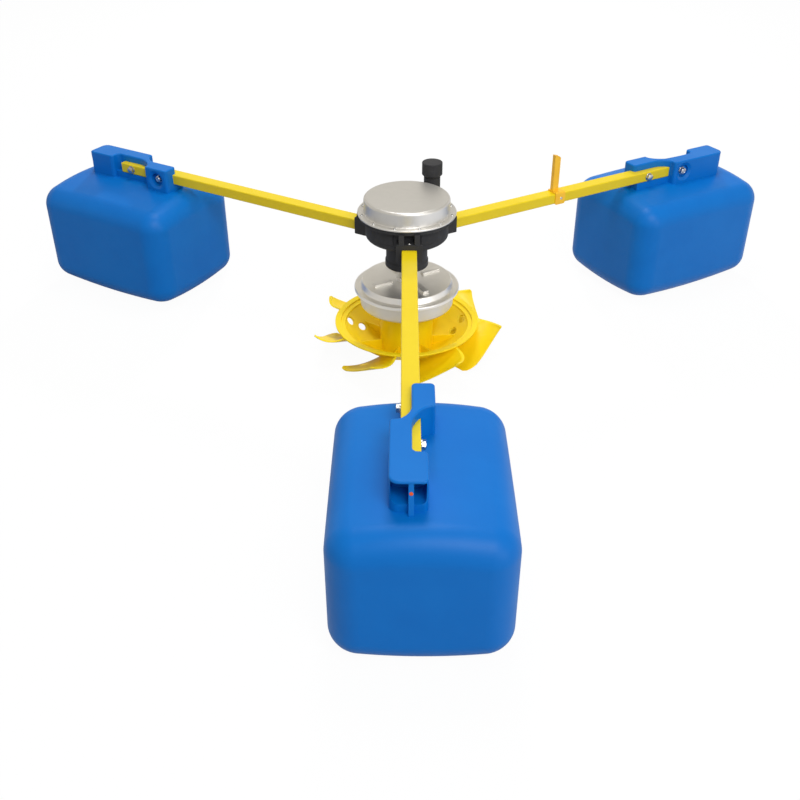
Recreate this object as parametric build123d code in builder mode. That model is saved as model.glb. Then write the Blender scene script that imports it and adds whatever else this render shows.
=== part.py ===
"""Pond aerator: three floats on a three-armed frame carry a motor that turns a seven-bladed impeller.

Sizes are in millimetres. +Z is up, the impeller's axis is x = y = 0, and the floats stand on z = 0.
Heights in the values below are measured from the arms' centreline.
"""

import os
from math import atan, cos, degrees, radians, sin

from build123d import *

os.makedirs("parts", exist_ok=True)

# Arms: rectangular tube, each passing the axis at the same side so that they spread like a pinwheel
arm_z = 364.0
arm_width = 40.0
arm_height = 30.0
arm_wall = 2.0
arm_corner = 3.0
arm_offset = 6.0
arm_start = 66.0
arm_end = 1021.0
arm_turns = {"front": -90.0, "right": 30.0, "left": 150.0}

# Fits and running gaps
seat_gap = 0.3
round_fit = 0.05
thread_fit = 0.05
bolt_gap = 0.5

# Floats: hollow mouldings
float_length = 487.0
float_width = 368.5
float_corner = 64.0
float_wall = 4.0
float_reach = 981.8
float_side = 21.6
float_top = -33.0
float_crown_along = 5.5
float_crown_across = 22.0
float_top_round = 60.0
float_foot_round = 54.0
float_belly_along = 12.5
float_belly_across = 16.0
float_pad_sink = 2.0

# Clamp moulded on each float: an inner jaw, a bridge over the arm and an outer block
clamp_top = 35.5
clamp_root = 24.0
jaw_start = 812.0
jaw_end = 897.0
jaw_thickness = 30.0
plate_start = 940.0
plate_thickness = 22.0
clamp_near = 2.0
inner_bend_run = 47.0
inner_bend_drop = 32.0
outer_bend_run = 63.0
outer_bend_rise = 41.0
outer_bend_ease = 0.45
outer_bend_swell = 0.65
block_start = 1047.0
block_thickness = 12.0
block_end = 1140.0
notch_round = 13.0
clamp_round = 10.0
lip_round = 20.0
jaw_round = 6.0
clamp_edge_round = 4.0
grip_depth = 50.0
grip_floor = -18.0
grip_lip = 5.5
grip_scoop = 6.0
grip_wall = 3.5
grip_round = 11.0
fin_thickness = 10.0
fin_set_back = 1.0
fin_stand_out = 13.0
plug_radius = 3.8
plug_length = 12.0
plug_stand_out = 1.0
plug_height = 10.0

# Through bolts of the clamps: M12
bolt_radius = 6.0
bolt_reach = {-1: 855.0, 1: 980.0}
bolt_head_width = 18.0
bolt_head_height = 7.5
nut_height = 10.8
washer_radius = 12.0
washer_thickness = 2.5
bolt_tip = 2.0
nut_land = 10.0
nut_well_radius = 20.0
dish_radius = 29.0
dish_depth = 5.0

# Hub: one moulding with a controller chamber, three sockets and a neck
hub_radius = 114.0
hub_wall = 10.0
hub_underside = -8.0
hub_underside_round = 10.0
hub_floor = 22.0
rim_radius = 130.0
rim_top = 61.5
rim_depth = 12.0
neck_radius = 57.5
neck_round = 22.0
neck_foot_radius = 60.0
neck_foot_height = 16.0
neck_bottom = -93.0
socket_end = 144.0
socket_wall = 15.0
socket_floor = 5.0
socket_top = 29.0
socket_round = 4.0
tower_width = 14.0
tower_gap = 28.0
tower_end = 142.0
tower_top = 54.0
tower_lean = 5.0
tower_root = 2.0
lock_reach = 134.0
lock_radius = 3.0
lock_head_radius = 4.5
lock_head_height = 3.0
panel_turns = (-140.0, -71.0)
panel_spread = 31.0
panel_low = 12.0
panel_high = 56.0
panel_stand_out = 2.5
panel_root = 3.0

# Cable inlet behind the hub, closed by a screwed cap
inlet_reach = 163.0
inlet_turn = 64.2
inlet_boss_radius = 27.0
inlet_boss_low = 14.0
inlet_boss_top = 52.0
inlet_web_width = 36.0
inlet_web_step = 1.0
inlet_neck_radius = 23.2
inlet_neck_top = 105.0
inlet_bore = 15.0
inlet_cap_radius = 28.7
inlet_cap_top = 148.0
inlet_cap_wall = 4.0
inlet_cap_step = 5.0
inlet_cap_round = 2.5
inlet_spigot_radius = 24.0
inlet_spigot_length = 30.0
seal_width = 3.0
seal_height = 3.0

# Cover of the controller chamber
gasket_thickness = 1.5
gasket_inner = 108.0
gasket_outer = 129.0
cover_sheet = 2.5
cover_top = 106.5
cover_radius = 117.5
cover_draft = 1.0
cover_edge_round = 8.0
cover_foot_round = 3.0
flange_radius = 135.0
flange_skirt = 4.0
cover_screws = 12
cover_screw_circle = 125.5
cover_screw_radius = 2.0
cover_screw_head_radius = 4.2
cover_screw_head_height = 2.8
cover_screw_length = 11.0
cover_screw_floor = 2.0
cover_screw_hole_gap = 0.4

# Controller, a potted ring in the chamber
controller_inner = 44.0
controller_outer = 96.0
controller_height = 26.0

# Fixed shaft, its nut, and the collar that shows between neck and motor
shaft_radius = 17.5
shaft_bore = 9.0
shaft_top = 40.0
shaft_shoulder_radius = 21.0
shaft_nut_width = 50.0
shaft_nut_height = 14.0
collar_flange_radius = 31.0
collar_flange_height = 7.0
collar_top_radius = 27.0
collar_low_radius = 22.0
collar_gap = 1.0

# Motor: an outer rotor can with a pressed cover, turning on two bearings
motor_top = -139.0
motor_boss_radius = 29.5
motor_boss_top = -131.0
motor_cover_radius = 125.5
motor_shoulder_radius = 131.0
motor_flange_radius = 148.0
motor_flange_top = -156.0
motor_skirt = 10.0
motor_sheet = 3.0
motor_plate = 4.0
shaft_run_gap = 1.0
seam_gap = 0.4
can_radius = 131.8
can_wall = 3.5
can_bottom = -214.0
can_plate = 5.0
can_round = 7.0
can_flange_sheet = 2.5
rib_count = 4
rib_turn = 30.0
rib_inner = 51.0
rib_outer = 105.0
rib_width = 16.0
rib_height = 5.0
rib_round = 2.0
bearing_radius = 36.0
bearing_width = 17.0
bearing_wall = 7.0
bearing_relief = 1.0
bearing_relief_radius = 30.0
magnet_inner = 108.0
magnet_height = 38.0
magnet_foot = 9.0
air_gap = 2.0
stator_inner = 66.0
stator_height = 36.0
stator_foot = 10.0
stator_web = 11.0

# Impeller: a bowl on a hollow column, with blades outside and webs inside
blade_count = 7
blade_turn = -7.2
bowl_rim_radius = 206.3
bowl_rim_top = -271.0
bowl_rim_depth = 5.5
bowl_wall = 5.0
bowl_step = 6.5
bowl_first_step_radius = 190.0
bowl_second_step_radius = 177.0
bowl_knee_radius = 142.0
bowl_knee_height = -318.0
bowl_low_radius = 110.0
bowl_low_height = -338.0
bowl_foot_height = -352.0
bowl_knee_round = 60.0
bowl_step_skin = 8.0
bowl_step_sink = 1.0
bowl_knee_skin = (3.5, 4.5)
bowl_low_skin = (2.0, 5.0)
bowl_foot_skin = 7.0
column_radius = 76.0
column_wall = 5.0
column_plate = 8.0
web_turn = 3.2
web_thickness = 4.0
web_inner_top = -322.0
web_outer_top = -316.0
web_outer_radius = 146.0
hole_radius = 11.5
hole_places = ((166.0, 19.0), (138.0, 11.0))
tip_radius = 277.5
tip_height = -275.0
bow_radius = 240.0
bow_turn = -7.1
bow_height = -315.5
heel_radius = 219.0
heel_turn = -33.3
heel_height = -362.0
root_top_radius = 190.0
root_turn = 13.0
blade_strip = 8.5
heel_round = 26.0
heel_share = 0.8
edge_clear = 0.6
blade_sections = 6
impeller_bolts = 6
impeller_bolt_circle = 53.0
impeller_bolt_radius = 4.0
impeller_bolt_grip = 20.0
impeller_bolt_head_radius = 6.5
impeller_bolt_head_height = 8.0
impeller_boss_half_width = 6.0
impeller_boss_height = 12.0
impeller_boss_roof = 3.0

# Cable hook riveted on the right arm
hook_start = 493.0
hook_end = 530.0
hook_sheet = 2.5
hook_back = 16.0
hook_drop = 15.0
hook_post_start = 489.0
hook_post_length = 28.0
hook_post_depth = 16.0
hook_post_front = 6.0
hook_front_top = 112.0
hook_back_top = 133.0
rivet_reach = 517.0
rivet_radius = 2.4
rivet_head_radius = 4.2
rivet_head_height = 1.5
rivet_length = 7.0

# Heights and radii that follow from the sizes above
float_bottom = -arm_z
arm_half_width = arm_width / 2
arm_half_height = arm_height / 2
bore_half_width = arm_half_width + seat_gap
bore_top = arm_half_height + seat_gap
bore_floor = -arm_half_height
float_line = arm_offset + float_side
flange_top = rim_top + gasket_thickness + cover_sheet
chamber_radius = hub_radius - hub_wall
motor_underside = motor_top - motor_plate
motor_flange_underside = motor_flange_top - motor_sheet
upper_bearing_bottom = motor_underside - bearing_width
can_floor = can_bottom + can_plate
lower_bearing_top = can_floor + bearing_width
can_bore = can_radius - can_wall
bearing_seat = bearing_radius + round_fit
bearing_bore = shaft_radius + round_fit
grip_near = -arm_half_width - plate_thickness + grip_wall
grip_far = arm_half_width + block_thickness - grip_wall
grip_back = block_end - grip_depth
grip_top = clamp_top - grip_lip
fin_head = block_end - fin_set_back
fin_foot = block_end + fin_stand_out

axial = Plane(origin=(0, 0, arm_z), x_dir=(1, 0, 0), z_dir=(0, -1, 0))


def level(height):
    """A level plane, by its height over the arms' centreline."""
    return Plane.XY.offset(arm_z + height)


def save(piece, name):
    """Name a finished piece and write it."""
    piece.label = name
    export_step(piece, f"parts/{name}.step")


def arm_point(turn, along, across, height):
    """A point on an arm: out from the axis, to the arm's left, and over its centreline."""
    a = radians(turn)
    side = arm_offset + across
    x = along * cos(a) - side * sin(a)
    y = along * sin(a) + side * cos(a)
    return (x, y, arm_z + height)


def bolt_plane(turn, reach, side, distance):
    """The plane across a clamp bolt, facing its head, at a distance from the arm's middle."""
    a = radians(turn)
    return Plane(
        origin=arm_point(turn, reach, side * distance, 0),
        x_dir=(cos(a), sin(a), 0),
        z_dir=(-side * sin(a), side * cos(a), 0),
    )


def ring_of_revolution(points):
    """A body turned about the axis from corner points (radius, height)."""
    with BuildPart() as body:
        with BuildSketch(axial):
            with BuildLine():
                Polyline(*points, close=True)
            make_face()
        revolve(axis=Axis.Z)
    return body.part


# Float body, and the same form inset by the wall for its hollow
def crowned_wheel(peak, facing, rise, drop, inset):
    """A wide wheel on a cross axis whose rim is a float's domed top or underside."""
    full_radius = float_length**2 / (8 * rise)
    wheel_radius = full_radius - inset
    axis_height = arm_z + peak - facing * full_radius
    half_width = float_width / 2
    depth = 2 * (float_top - float_bottom)
    wheel_side = Plane(
        origin=(float_reach + wheel_radius, float_line, axis_height),
        x_dir=(0, 1, 0),
        z_dir=(0, 0, -1),
    )
    with BuildPart() as wheel:
        with BuildSketch(wheel_side):
            with BuildLine():
                crown = ThreePointArc((-half_width, -drop), (0, 0), (half_width, -drop))
                Polyline(crown @ 1, (half_width, -depth), (-half_width, -depth), crown @ 0)
            make_face()
        revolve(axis=Axis((float_reach, float_line, axis_height), (0, 1, 0)))
    return wheel.part


def float_form(inset):
    depth = float_top - float_bottom
    top_wheel = crowned_wheel(float_top, 1, float_crown_along, float_crown_across, inset)
    belly_wheel = crowned_wheel(
        float_bottom - float_pad_sink, -1, float_belly_along, float_belly_across, inset
    )
    with BuildPart() as form:
        with BuildSketch(level(float_bottom - depth)):
            with Locations((float_reach, float_line)):
                RectangleRounded(
                    float_length - 2 * inset, float_width - 2 * inset, float_corner - inset
                )
        extrude(amount=3 * depth)
        add(top_wheel, mode=Mode.INTERSECT)
        add(belly_wheel, mode=Mode.INTERSECT)
        fillet(form.faces().sort_by(Axis.Z)[-1].edges(), radius=float_top_round - inset)
        fillet(form.faces().sort_by(Axis.Z)[0].edges(), radius=float_foot_round - inset)
        split(bisect_by=level(float_bottom + inset), keep=Keep.TOP)
    return form.part


float_outside = float_form(0)
float_hollow = float_form(float_wall)

# Clamp block: its outline from above, with the S-shaped bridge
near = arm_offset + clamp_near
jaw_far = arm_offset + arm_half_width + jaw_thickness
plate_far = arm_offset - arm_half_width - plate_thickness
block_far = arm_offset + arm_half_width + block_thickness
clamp_foot = float_top - clamp_root

with BuildPart() as clamp:
    with BuildSketch(level(clamp_foot)):
        with BuildLine():
            inner_bend = Bezier(
                (plate_start - inner_bend_run, near),
                (plate_start - inner_bend_run / 2, near),
                (plate_start, near - inner_bend_drop / 2),
                (plate_start, near - inner_bend_drop),
            )
            outer_bend = Bezier(
                (jaw_end + outer_bend_run, near),
                (jaw_end + outer_bend_run * outer_bend_ease, near),
                (jaw_end, near + outer_bend_rise * outer_bend_swell),
                (jaw_end, near + outer_bend_rise),
            )
            FilletPolyline(
                inner_bend @ 1,
                (plate_start, plate_far),
                (block_end, plate_far),
                (block_end, block_far),
                (block_start, block_far),
                (block_start, near),
                outer_bend @ 0,
                radius=(clamp_round, lip_round, clamp_round, clamp_round, notch_round),
            )
            FilletPolyline(
                outer_bend @ 1,
                (jaw_end, jaw_far),
                (jaw_start, jaw_far),
                (jaw_start, near),
                inner_bend @ 0,
                radius=(jaw_round, clamp_round, clamp_round),
            )
        make_face()
    extrude(amount=clamp_top - clamp_foot)
    fillet(clamp.faces().sort_by(Axis.Z)[-1].edges(), radius=clamp_edge_round)
    # The arm's channel
    with BuildSketch(level(bore_floor)):
        with Locations(((jaw_start + arm_end + seat_gap) / 2, arm_offset)):
            Rectangle(arm_end + seat_gap - jaw_start + seat_gap, 2 * bore_half_width)
    extrude(amount=bore_top - bore_floor, mode=Mode.SUBTRACT)
    # The saddle under the arm
    with BuildSketch(level(clamp_foot)):
        with Locations(((jaw_start + block_start) / 2, arm_offset)):
            Rectangle(block_start - jaw_start, 2 * bore_half_width)
    extrude(amount=bore_floor - clamp_foot)
    # The finger grip under the lip, with its fin
    grip_mouth = Plane(origin=(grip_back, arm_offset, arm_z), x_dir=(0, 1, 0), z_dir=(1, 0, 0))
    with BuildSketch(grip_mouth):
        with BuildLine():
            FilletPolyline(
                (grip_near, grip_top),
                (grip_near, grip_floor),
                (grip_far, grip_floor),
                (grip_far, grip_top),
                radius=(0, grip_round, grip_round, 0),
                close=True,
            )
        make_face()
    extrude(amount=2 * grip_depth, mode=Mode.SUBTRACT)
    with BuildSketch(Plane.XZ):
        with BuildLine():
            scoop = ThreePointArc(
                (block_end, arm_z + grip_floor),
                (block_end - grip_scoop, arm_z + (grip_floor + grip_top) / 2),
                (block_end, arm_z + grip_top),
            )
            Line(scoop @ 1, scoop @ 0)
        make_face()
    extrude(amount=2 * jaw_far, both=True, mode=Mode.SUBTRACT)
    with BuildSketch(Plane.XZ.offset(-arm_offset)):
        with BuildLine():
            Polyline(
                (grip_back, arm_z + clamp_foot),
                (fin_foot, arm_z + clamp_foot),
                (fin_foot, arm_z + float_top),
                (fin_head, arm_z + grip_top),
                (fin_head, arm_z + grip_top + fin_set_back),
                (grip_back, arm_z + grip_top + fin_set_back),
                close=True,
            )
        make_face()
    extrude(amount=fin_thickness / 2, both=True)
    # Bolt holes, nut wells and their dished mouths
    for side, reach in bolt_reach.items():
        wall = jaw_thickness if side < 0 else plate_thickness
        land = arm_half_width + nut_land
        mouth = arm_half_width + wall
        with BuildSketch(bolt_plane(0, reach, -side, 0)):
            Circle(bolt_radius + bolt_gap)
        extrude(amount=mouth, mode=Mode.SUBTRACT)
        with BuildSketch(bolt_plane(0, reach, -side, land)):
            Circle(nut_well_radius)
        extrude(amount=mouth - land, mode=Mode.SUBTRACT)
        with Locations(bolt_plane(0, reach, -side, mouth)):
            Cone(
                nut_well_radius,
                dish_radius,
                dish_depth,
                align=(Align.CENTER, Align.CENTER, Align.MAX),
                mode=Mode.SUBTRACT,
            )

# Vent plug: pressed into the fin's sloping front
fin_run = fin_foot - fin_head
fin_rise = grip_top - float_top
fin_face = fin_head + fin_run * (grip_top - plug_height) / fin_rise
fin_slope = degrees(atan(fin_run / fin_rise))


def plug_plane(turn):
    """The plane on a fin's sloping front, at the plug."""
    a = radians(turn)
    tip = radians(fin_slope)
    return Plane(
        origin=arm_point(turn, fin_face, 0, plug_height),
        x_dir=(-sin(a), cos(a), 0),
        z_dir=(cos(tip) * cos(a), cos(tip) * sin(a), sin(tip)),
    )


with BuildPart() as float_body:
    add(float_outside)
    add(clamp.part)
    add(float_hollow, mode=Mode.SUBTRACT)
    with BuildSketch(plug_plane(0)):
        Circle(plug_radius + round_fit)
    extrude(amount=-plug_length, mode=Mode.SUBTRACT)

for name, turn in arm_turns.items():
    with BuildPart() as float_piece:
        add(float_body.part, rotation=(0, 0, turn))
    save(float_piece.part, f"float_{name}")

with BuildPart() as vent_plugs:
    for turn in arm_turns.values():
        with BuildSketch(plug_plane(turn).offset(-plug_length)):
            Circle(plug_radius)
        extrude(amount=plug_length + plug_stand_out)
save(vent_plugs.part, "vent_plugs")

# Clamp bolts, washers and nuts
well_washer = arm_half_width + nut_land
shank_end = well_washer + washer_thickness + nut_height + bolt_tip
head_seat = arm_half_width + washer_thickness

with BuildPart() as clamp_bolts:
    for turn in arm_turns.values():
        for side, reach in bolt_reach.items():
            with BuildSketch(bolt_plane(turn, reach, side, head_seat)):
                RegularPolygon(bolt_head_width / 2, 6, major_radius=False)
            extrude(amount=bolt_head_height)
            with BuildSketch(bolt_plane(turn, reach, side, head_seat)):
                Circle(bolt_radius)
            extrude(amount=-head_seat - shank_end)
save(clamp_bolts.part, "clamp_bolts")

with BuildPart() as clamp_washers:
    for turn in arm_turns.values():
        for side, reach in bolt_reach.items():
            for facing, distance in ((side, arm_half_width), (-side, well_washer)):
                with BuildSketch(bolt_plane(turn, reach, facing, distance)):
                    Circle(washer_radius)
                    Circle(bolt_radius + bolt_gap, mode=Mode.SUBTRACT)
                extrude(amount=washer_thickness)
save(clamp_washers.part, "clamp_washers")

with BuildPart() as clamp_nuts:
    for turn in arm_turns.values():
        for side, reach in bolt_reach.items():
            with BuildSketch(bolt_plane(turn, reach, -side, well_washer + washer_thickness)):
                RegularPolygon(bolt_head_width / 2, 6, major_radius=False)
                Circle(bolt_radius + thread_fit, mode=Mode.SUBTRACT)
            extrude(amount=nut_height)
save(clamp_nuts.part, "clamp_nuts")

# Arms
for name, turn in arm_turns.items():
    a = radians(turn)
    arm_section = Plane(
        origin=arm_point(turn, arm_start, 0, 0),
        x_dir=(-sin(a), cos(a), 0),
        z_dir=(cos(a), sin(a), 0),
    )
    with BuildPart() as arm:
        with BuildSketch(arm_section):
            RectangleRounded(arm_width, arm_height, arm_corner)
            RectangleRounded(
                arm_width - 2 * arm_wall, arm_height - 2 * arm_wall, arm_corner - arm_wall, mode=Mode.SUBTRACT
            )
        extrude(amount=arm_end - arm_start)
        for side, reach in bolt_reach.items():
            with BuildSketch(bolt_plane(turn, reach, side, 0)):
                Circle(bolt_radius + bolt_gap)
            extrude(amount=arm_width, both=True, mode=Mode.SUBTRACT)
        if name == "right":
            with BuildSketch(bolt_plane(turn, rivet_reach, -1, 0)):
                Circle(rivet_radius + round_fit)
            extrude(amount=arm_width, mode=Mode.SUBTRACT)
    save(arm.part, f"arm_{name}")

# Hub
neck_foot_top = neck_bottom + neck_foot_height
inlet_x = inlet_reach * cos(radians(inlet_turn))
inlet_y = inlet_reach * sin(radians(inlet_turn))

with BuildPart() as hub:
    with BuildSketch(axial):
        with BuildLine():
            FilletPolyline(
                (bearing_bore, neck_bottom),
                (neck_foot_radius, neck_bottom),
                (neck_foot_radius, neck_foot_top),
                (neck_radius, neck_foot_top + 2 * (neck_foot_radius - neck_radius)),
                (neck_radius, hub_underside),
                (hub_radius, hub_underside),
                (hub_radius, rim_top - rim_depth),
                (rim_radius, rim_top - rim_depth),
                (rim_radius, rim_top),
                (chamber_radius, rim_top),
                (chamber_radius, hub_floor),
                (bearing_bore, hub_floor),
                radius=(0, 1.5, 2, 4, neck_round, hub_underside_round, 0, 1, 1, 0, 4, 0),
                close=True,
            )
        make_face()
    revolve(axis=Axis.Z)
    # Sockets and the two towers over each
    for turn in arm_turns.values():
        a = radians(turn)
        socket_plane = Plane(
            origin=arm_point(turn, chamber_radius, 0, 0),
            x_dir=(-sin(a), cos(a), 0),
            z_dir=(cos(a), sin(a), 0),
        )
        socket_low = bore_floor - socket_floor
        with BuildSketch(socket_plane):
            with Locations((0, (socket_top + socket_low) / 2)):
                RectangleRounded(arm_width + 2 * socket_wall, socket_top - socket_low, socket_round)
        extrude(amount=socket_end - chamber_radius)
        inward = arm_start - chamber_radius
        with BuildSketch(socket_plane.offset(inward)):
            with Locations((0, (socket_top + socket_low) / 2)):
                Rectangle(arm_width, socket_top - socket_low)
        extrude(amount=-inward)
    add(
        ring_of_revolution(
            (
                (0, hub_floor),
                (chamber_radius, hub_floor),
                (chamber_radius, rim_top + rim_depth),
                (0, rim_top + rim_depth),
            )
        ),
        mode=Mode.SUBTRACT,
    )
    for turn in arm_turns.values():
        a = radians(turn)
        for hand in (-1, 1):
            tower_middle = hand * (tower_gap + tower_width) / 2
            tower_plane = Plane(
                origin=arm_point(turn, 0, tower_middle, 0),
                x_dir=(cos(a), sin(a), 0),
                z_dir=(sin(a), -cos(a), 0),
            )
            with BuildSketch(tower_plane):
                with BuildLine():
                    Polyline(
                        (chamber_radius + hub_wall / 2, socket_top - tower_root),
                        (tower_end, socket_top - tower_root),
                        (tower_end - tower_lean, tower_top),
                        (chamber_radius + hub_wall / 2, tower_top),
                        close=True,
                    )
                make_face()
            extrude(amount=tower_width / 2, both=True)
        # The arm's bore and its lock screw
        bore_plane = Plane(
            origin=arm_point(turn, arm_start, 0, (bore_top + bore_floor) / 2),
            x_dir=(-sin(a), cos(a), 0),
            z_dir=(cos(a), sin(a), 0),
        )
        with BuildSketch(bore_plane):
            Rectangle(2 * bore_half_width, bore_top - bore_floor)
        extrude(amount=socket_end, mode=Mode.SUBTRACT)
        lock_x, lock_y, lock_z = arm_point(turn, lock_reach, 0, 0)
        with BuildSketch(level(0)):
            with Locations((lock_x, lock_y)):
                Circle(lock_radius + thread_fit)
        extrude(amount=socket_top + lock_head_height, mode=Mode.SUBTRACT)
    # Moulded panels on the wall beside the front arm
    for turn in panel_turns:
        a = radians(turn)
        with BuildSketch(Plane(axial.origin, x_dir=(cos(a), sin(a), 0), z_dir=(sin(a), -cos(a), 0))):
            with BuildLine():
                FilletPolyline(
                    (hub_radius - panel_root, panel_low),
                    (hub_radius + panel_stand_out, panel_low),
                    (hub_radius + panel_stand_out, panel_high),
                    (hub_radius - panel_root, panel_high),
                    radius=(0, 1.5, 0, 0),
                    close=True,
                )
            make_face()
        revolve(axis=Axis.Z, revolution_arc=panel_spread)
    # Boss of the cable inlet, on a web from the wall
    with BuildSketch(level(inlet_boss_low)):
        with Locations((inlet_x, inlet_y)):
            Circle(inlet_boss_radius)
    extrude(amount=inlet_boss_top - inlet_boss_low)
    web_reach = (hub_radius - hub_wall / 2 + inlet_reach) / 2
    web_length = inlet_reach - hub_radius + hub_wall / 2
    web_x = web_reach * cos(radians(inlet_turn))
    web_y = web_reach * sin(radians(inlet_turn))
    with BuildSketch(level(inlet_boss_low)):
        with Locations(Location((web_x, web_y), inlet_turn)):
            Rectangle(web_length, inlet_web_width)
    extrude(amount=inlet_boss_top - inlet_web_step - inlet_boss_low)
    with BuildSketch(level(inlet_boss_low + inlet_cap_wall)):
        with Locations((inlet_x, inlet_y)):
            Circle(inlet_bore)
    extrude(amount=inlet_boss_top - inlet_boss_low, mode=Mode.SUBTRACT)
    # Blind holes of the cover screws
    with BuildSketch(level(rim_top)):
        with PolarLocations(cover_screw_circle, cover_screws, start_angle=180 / cover_screws):
            Circle(cover_screw_radius + thread_fit)
    extrude(amount=cover_screw_floor - rim_depth, mode=Mode.SUBTRACT)
save(hub.part, "hub")

with BuildPart() as lock_screws:
    for turn in arm_turns.values():
        lock_x, lock_y, lock_z = arm_point(turn, lock_reach, 0, 0)
        with BuildSketch(level(arm_half_height)):
            with Locations((lock_x, lock_y)):
                Circle(lock_radius)
        extrude(amount=socket_top - arm_half_height)
        with BuildSketch(level(socket_top)):
            with Locations((lock_x, lock_y)):
                Circle(lock_head_radius)
        extrude(amount=lock_head_height)
save(lock_screws.part, "lock_screws")

# Cable inlet: neck, seal and cap
with BuildPart() as inlet_neck:
    with BuildSketch(level(inlet_boss_top)):
        with Locations((inlet_x, inlet_y)):
            Circle(inlet_neck_radius)
            Circle(inlet_bore, mode=Mode.SUBTRACT)
    extrude(amount=inlet_neck_top - inlet_boss_top)
    with BuildSketch(level(inlet_neck_top)):
        with Locations((inlet_x, inlet_y)):
            Circle(inlet_spigot_radius - inlet_cap_wall)
            Circle(inlet_bore, mode=Mode.SUBTRACT)
    extrude(amount=inlet_spigot_length)
save(inlet_neck.part, "inlet_neck")

with BuildPart() as inlet_seal:
    with BuildSketch(level(inlet_neck_top)):
        with Locations((inlet_x, inlet_y)):
            Circle(inlet_spigot_radius - inlet_cap_wall + seal_width)
            Circle(inlet_spigot_radius - inlet_cap_wall + thread_fit, mode=Mode.SUBTRACT)
    extrude(amount=seal_height)
save(inlet_seal.part, "inlet_seal")

cap_plane = Plane(origin=(inlet_x, inlet_y, arm_z), x_dir=(1, 0, 0), z_dir=(0, -1, 0))
cap_low = inlet_neck_top + seal_height
cap_bore = inlet_spigot_radius - inlet_cap_wall + thread_fit
cap_bore_top = inlet_neck_top + inlet_spigot_length + bolt_gap
with BuildPart() as inlet_cap:
    with BuildSketch(cap_plane):
        with BuildLine():
            FilletPolyline(
                (cap_bore, cap_low),
                (inlet_neck_radius, cap_low),
                (inlet_cap_radius, cap_low + inlet_cap_step),
                (inlet_cap_radius, inlet_cap_top),
                (0, inlet_cap_top),
                (0, cap_bore_top),
                (cap_bore, cap_bore_top),
                radius=(0, 0, 2, inlet_cap_round, 0, 0, 0),
                close=True,
            )
        make_face()
    revolve(axis=Axis((inlet_x, inlet_y, 0), (0, 0, 1)))
save(inlet_cap.part, "inlet_cap")

# Cover, gasket and screws
with BuildPart() as cover:
    with BuildSketch(axial):
        foot_radius = cover_radius + cover_draft
        with BuildLine():
            outside = FilletPolyline(
                (0, cover_top),
                (cover_radius, cover_top),
                (foot_radius, flange_top),
                (flange_radius, flange_top),
                (flange_radius, flange_top - flange_skirt),
                radius=(cover_edge_round, cover_foot_round, 2),
            )
            inside = FilletPolyline(
                (0, cover_top - cover_sheet),
                (cover_radius - cover_sheet, cover_top - cover_sheet),
                (foot_radius - cover_sheet, flange_top - cover_sheet),
                (flange_radius - cover_sheet, flange_top - cover_sheet),
                (flange_radius - cover_sheet, flange_top - flange_skirt),
                radius=(cover_edge_round - cover_sheet, cover_foot_round + cover_sheet, 0),
            )
            Line(outside @ 1, inside @ 1)
            Line(outside @ 0, inside @ 0)
        make_face()
    revolve(axis=Axis.Z)
    with BuildSketch(level(flange_top)):
        with PolarLocations(cover_screw_circle, cover_screws, start_angle=180 / cover_screws):
            Circle(cover_screw_radius + cover_screw_hole_gap)
    extrude(amount=-cover_sheet, mode=Mode.SUBTRACT)
save(cover.part, "cover")

with BuildPart() as cover_gasket:
    with BuildSketch(level(rim_top)):
        Circle(gasket_outer)
        Circle(gasket_inner, mode=Mode.SUBTRACT)
        with PolarLocations(cover_screw_circle, cover_screws, start_angle=180 / cover_screws):
            Circle(cover_screw_radius + cover_screw_hole_gap, mode=Mode.SUBTRACT)
    extrude(amount=gasket_thickness)
save(cover_gasket.part, "cover_gasket")

with BuildPart() as cover_screw_set:
    with BuildSketch(level(flange_top)):
        with PolarLocations(cover_screw_circle, cover_screws, start_angle=180 / cover_screws):
            Circle(cover_screw_head_radius)
    extrude(amount=cover_screw_head_height)
    with BuildSketch(level(flange_top)):
        with PolarLocations(cover_screw_circle, cover_screws, start_angle=180 / cover_screws):
            Circle(cover_screw_radius)
    extrude(amount=-cover_screw_length)
save(cover_screw_set.part, "cover_screws")

# Controller
with BuildPart() as controller:
    with BuildSketch(level(hub_floor)):
        Circle(controller_outer)
        Circle(controller_inner, mode=Mode.SUBTRACT)
    extrude(amount=controller_height)
save(controller.part, "controller")

# Shaft, nut and collar
shaft_bottom = can_floor + bearing_relief
shaft = ring_of_revolution(
    (
        (shaft_bore, shaft_bottom),
        (shaft_radius, shaft_bottom),
        (shaft_radius, lower_bearing_top),
        (shaft_shoulder_radius, lower_bearing_top),
        (shaft_shoulder_radius, upper_bearing_bottom),
        (shaft_radius, upper_bearing_bottom),
        (shaft_radius, shaft_top),
        (shaft_bore, shaft_top),
    )
)
save(shaft, "shaft")

with BuildPart() as shaft_nut:
    with BuildSketch(level(hub_floor)):
        RegularPolygon(shaft_nut_width / 2, 6, major_radius=False)
        Circle(shaft_radius + thread_fit, mode=Mode.SUBTRACT)
    extrude(amount=shaft_nut_height)
save(shaft_nut.part, "shaft_nut")

collar_flange_bottom = neck_bottom - collar_flange_height
collar = ring_of_revolution(
    (
        (bearing_bore, motor_boss_top + collar_gap),
        (collar_low_radius, motor_boss_top + collar_gap),
        (collar_top_radius, collar_flange_bottom),
        (collar_flange_radius, collar_flange_bottom),
        (collar_flange_radius, neck_bottom),
        (bearing_bore, neck_bottom),
    )
)
save(collar, "shaft_collar")

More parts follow.
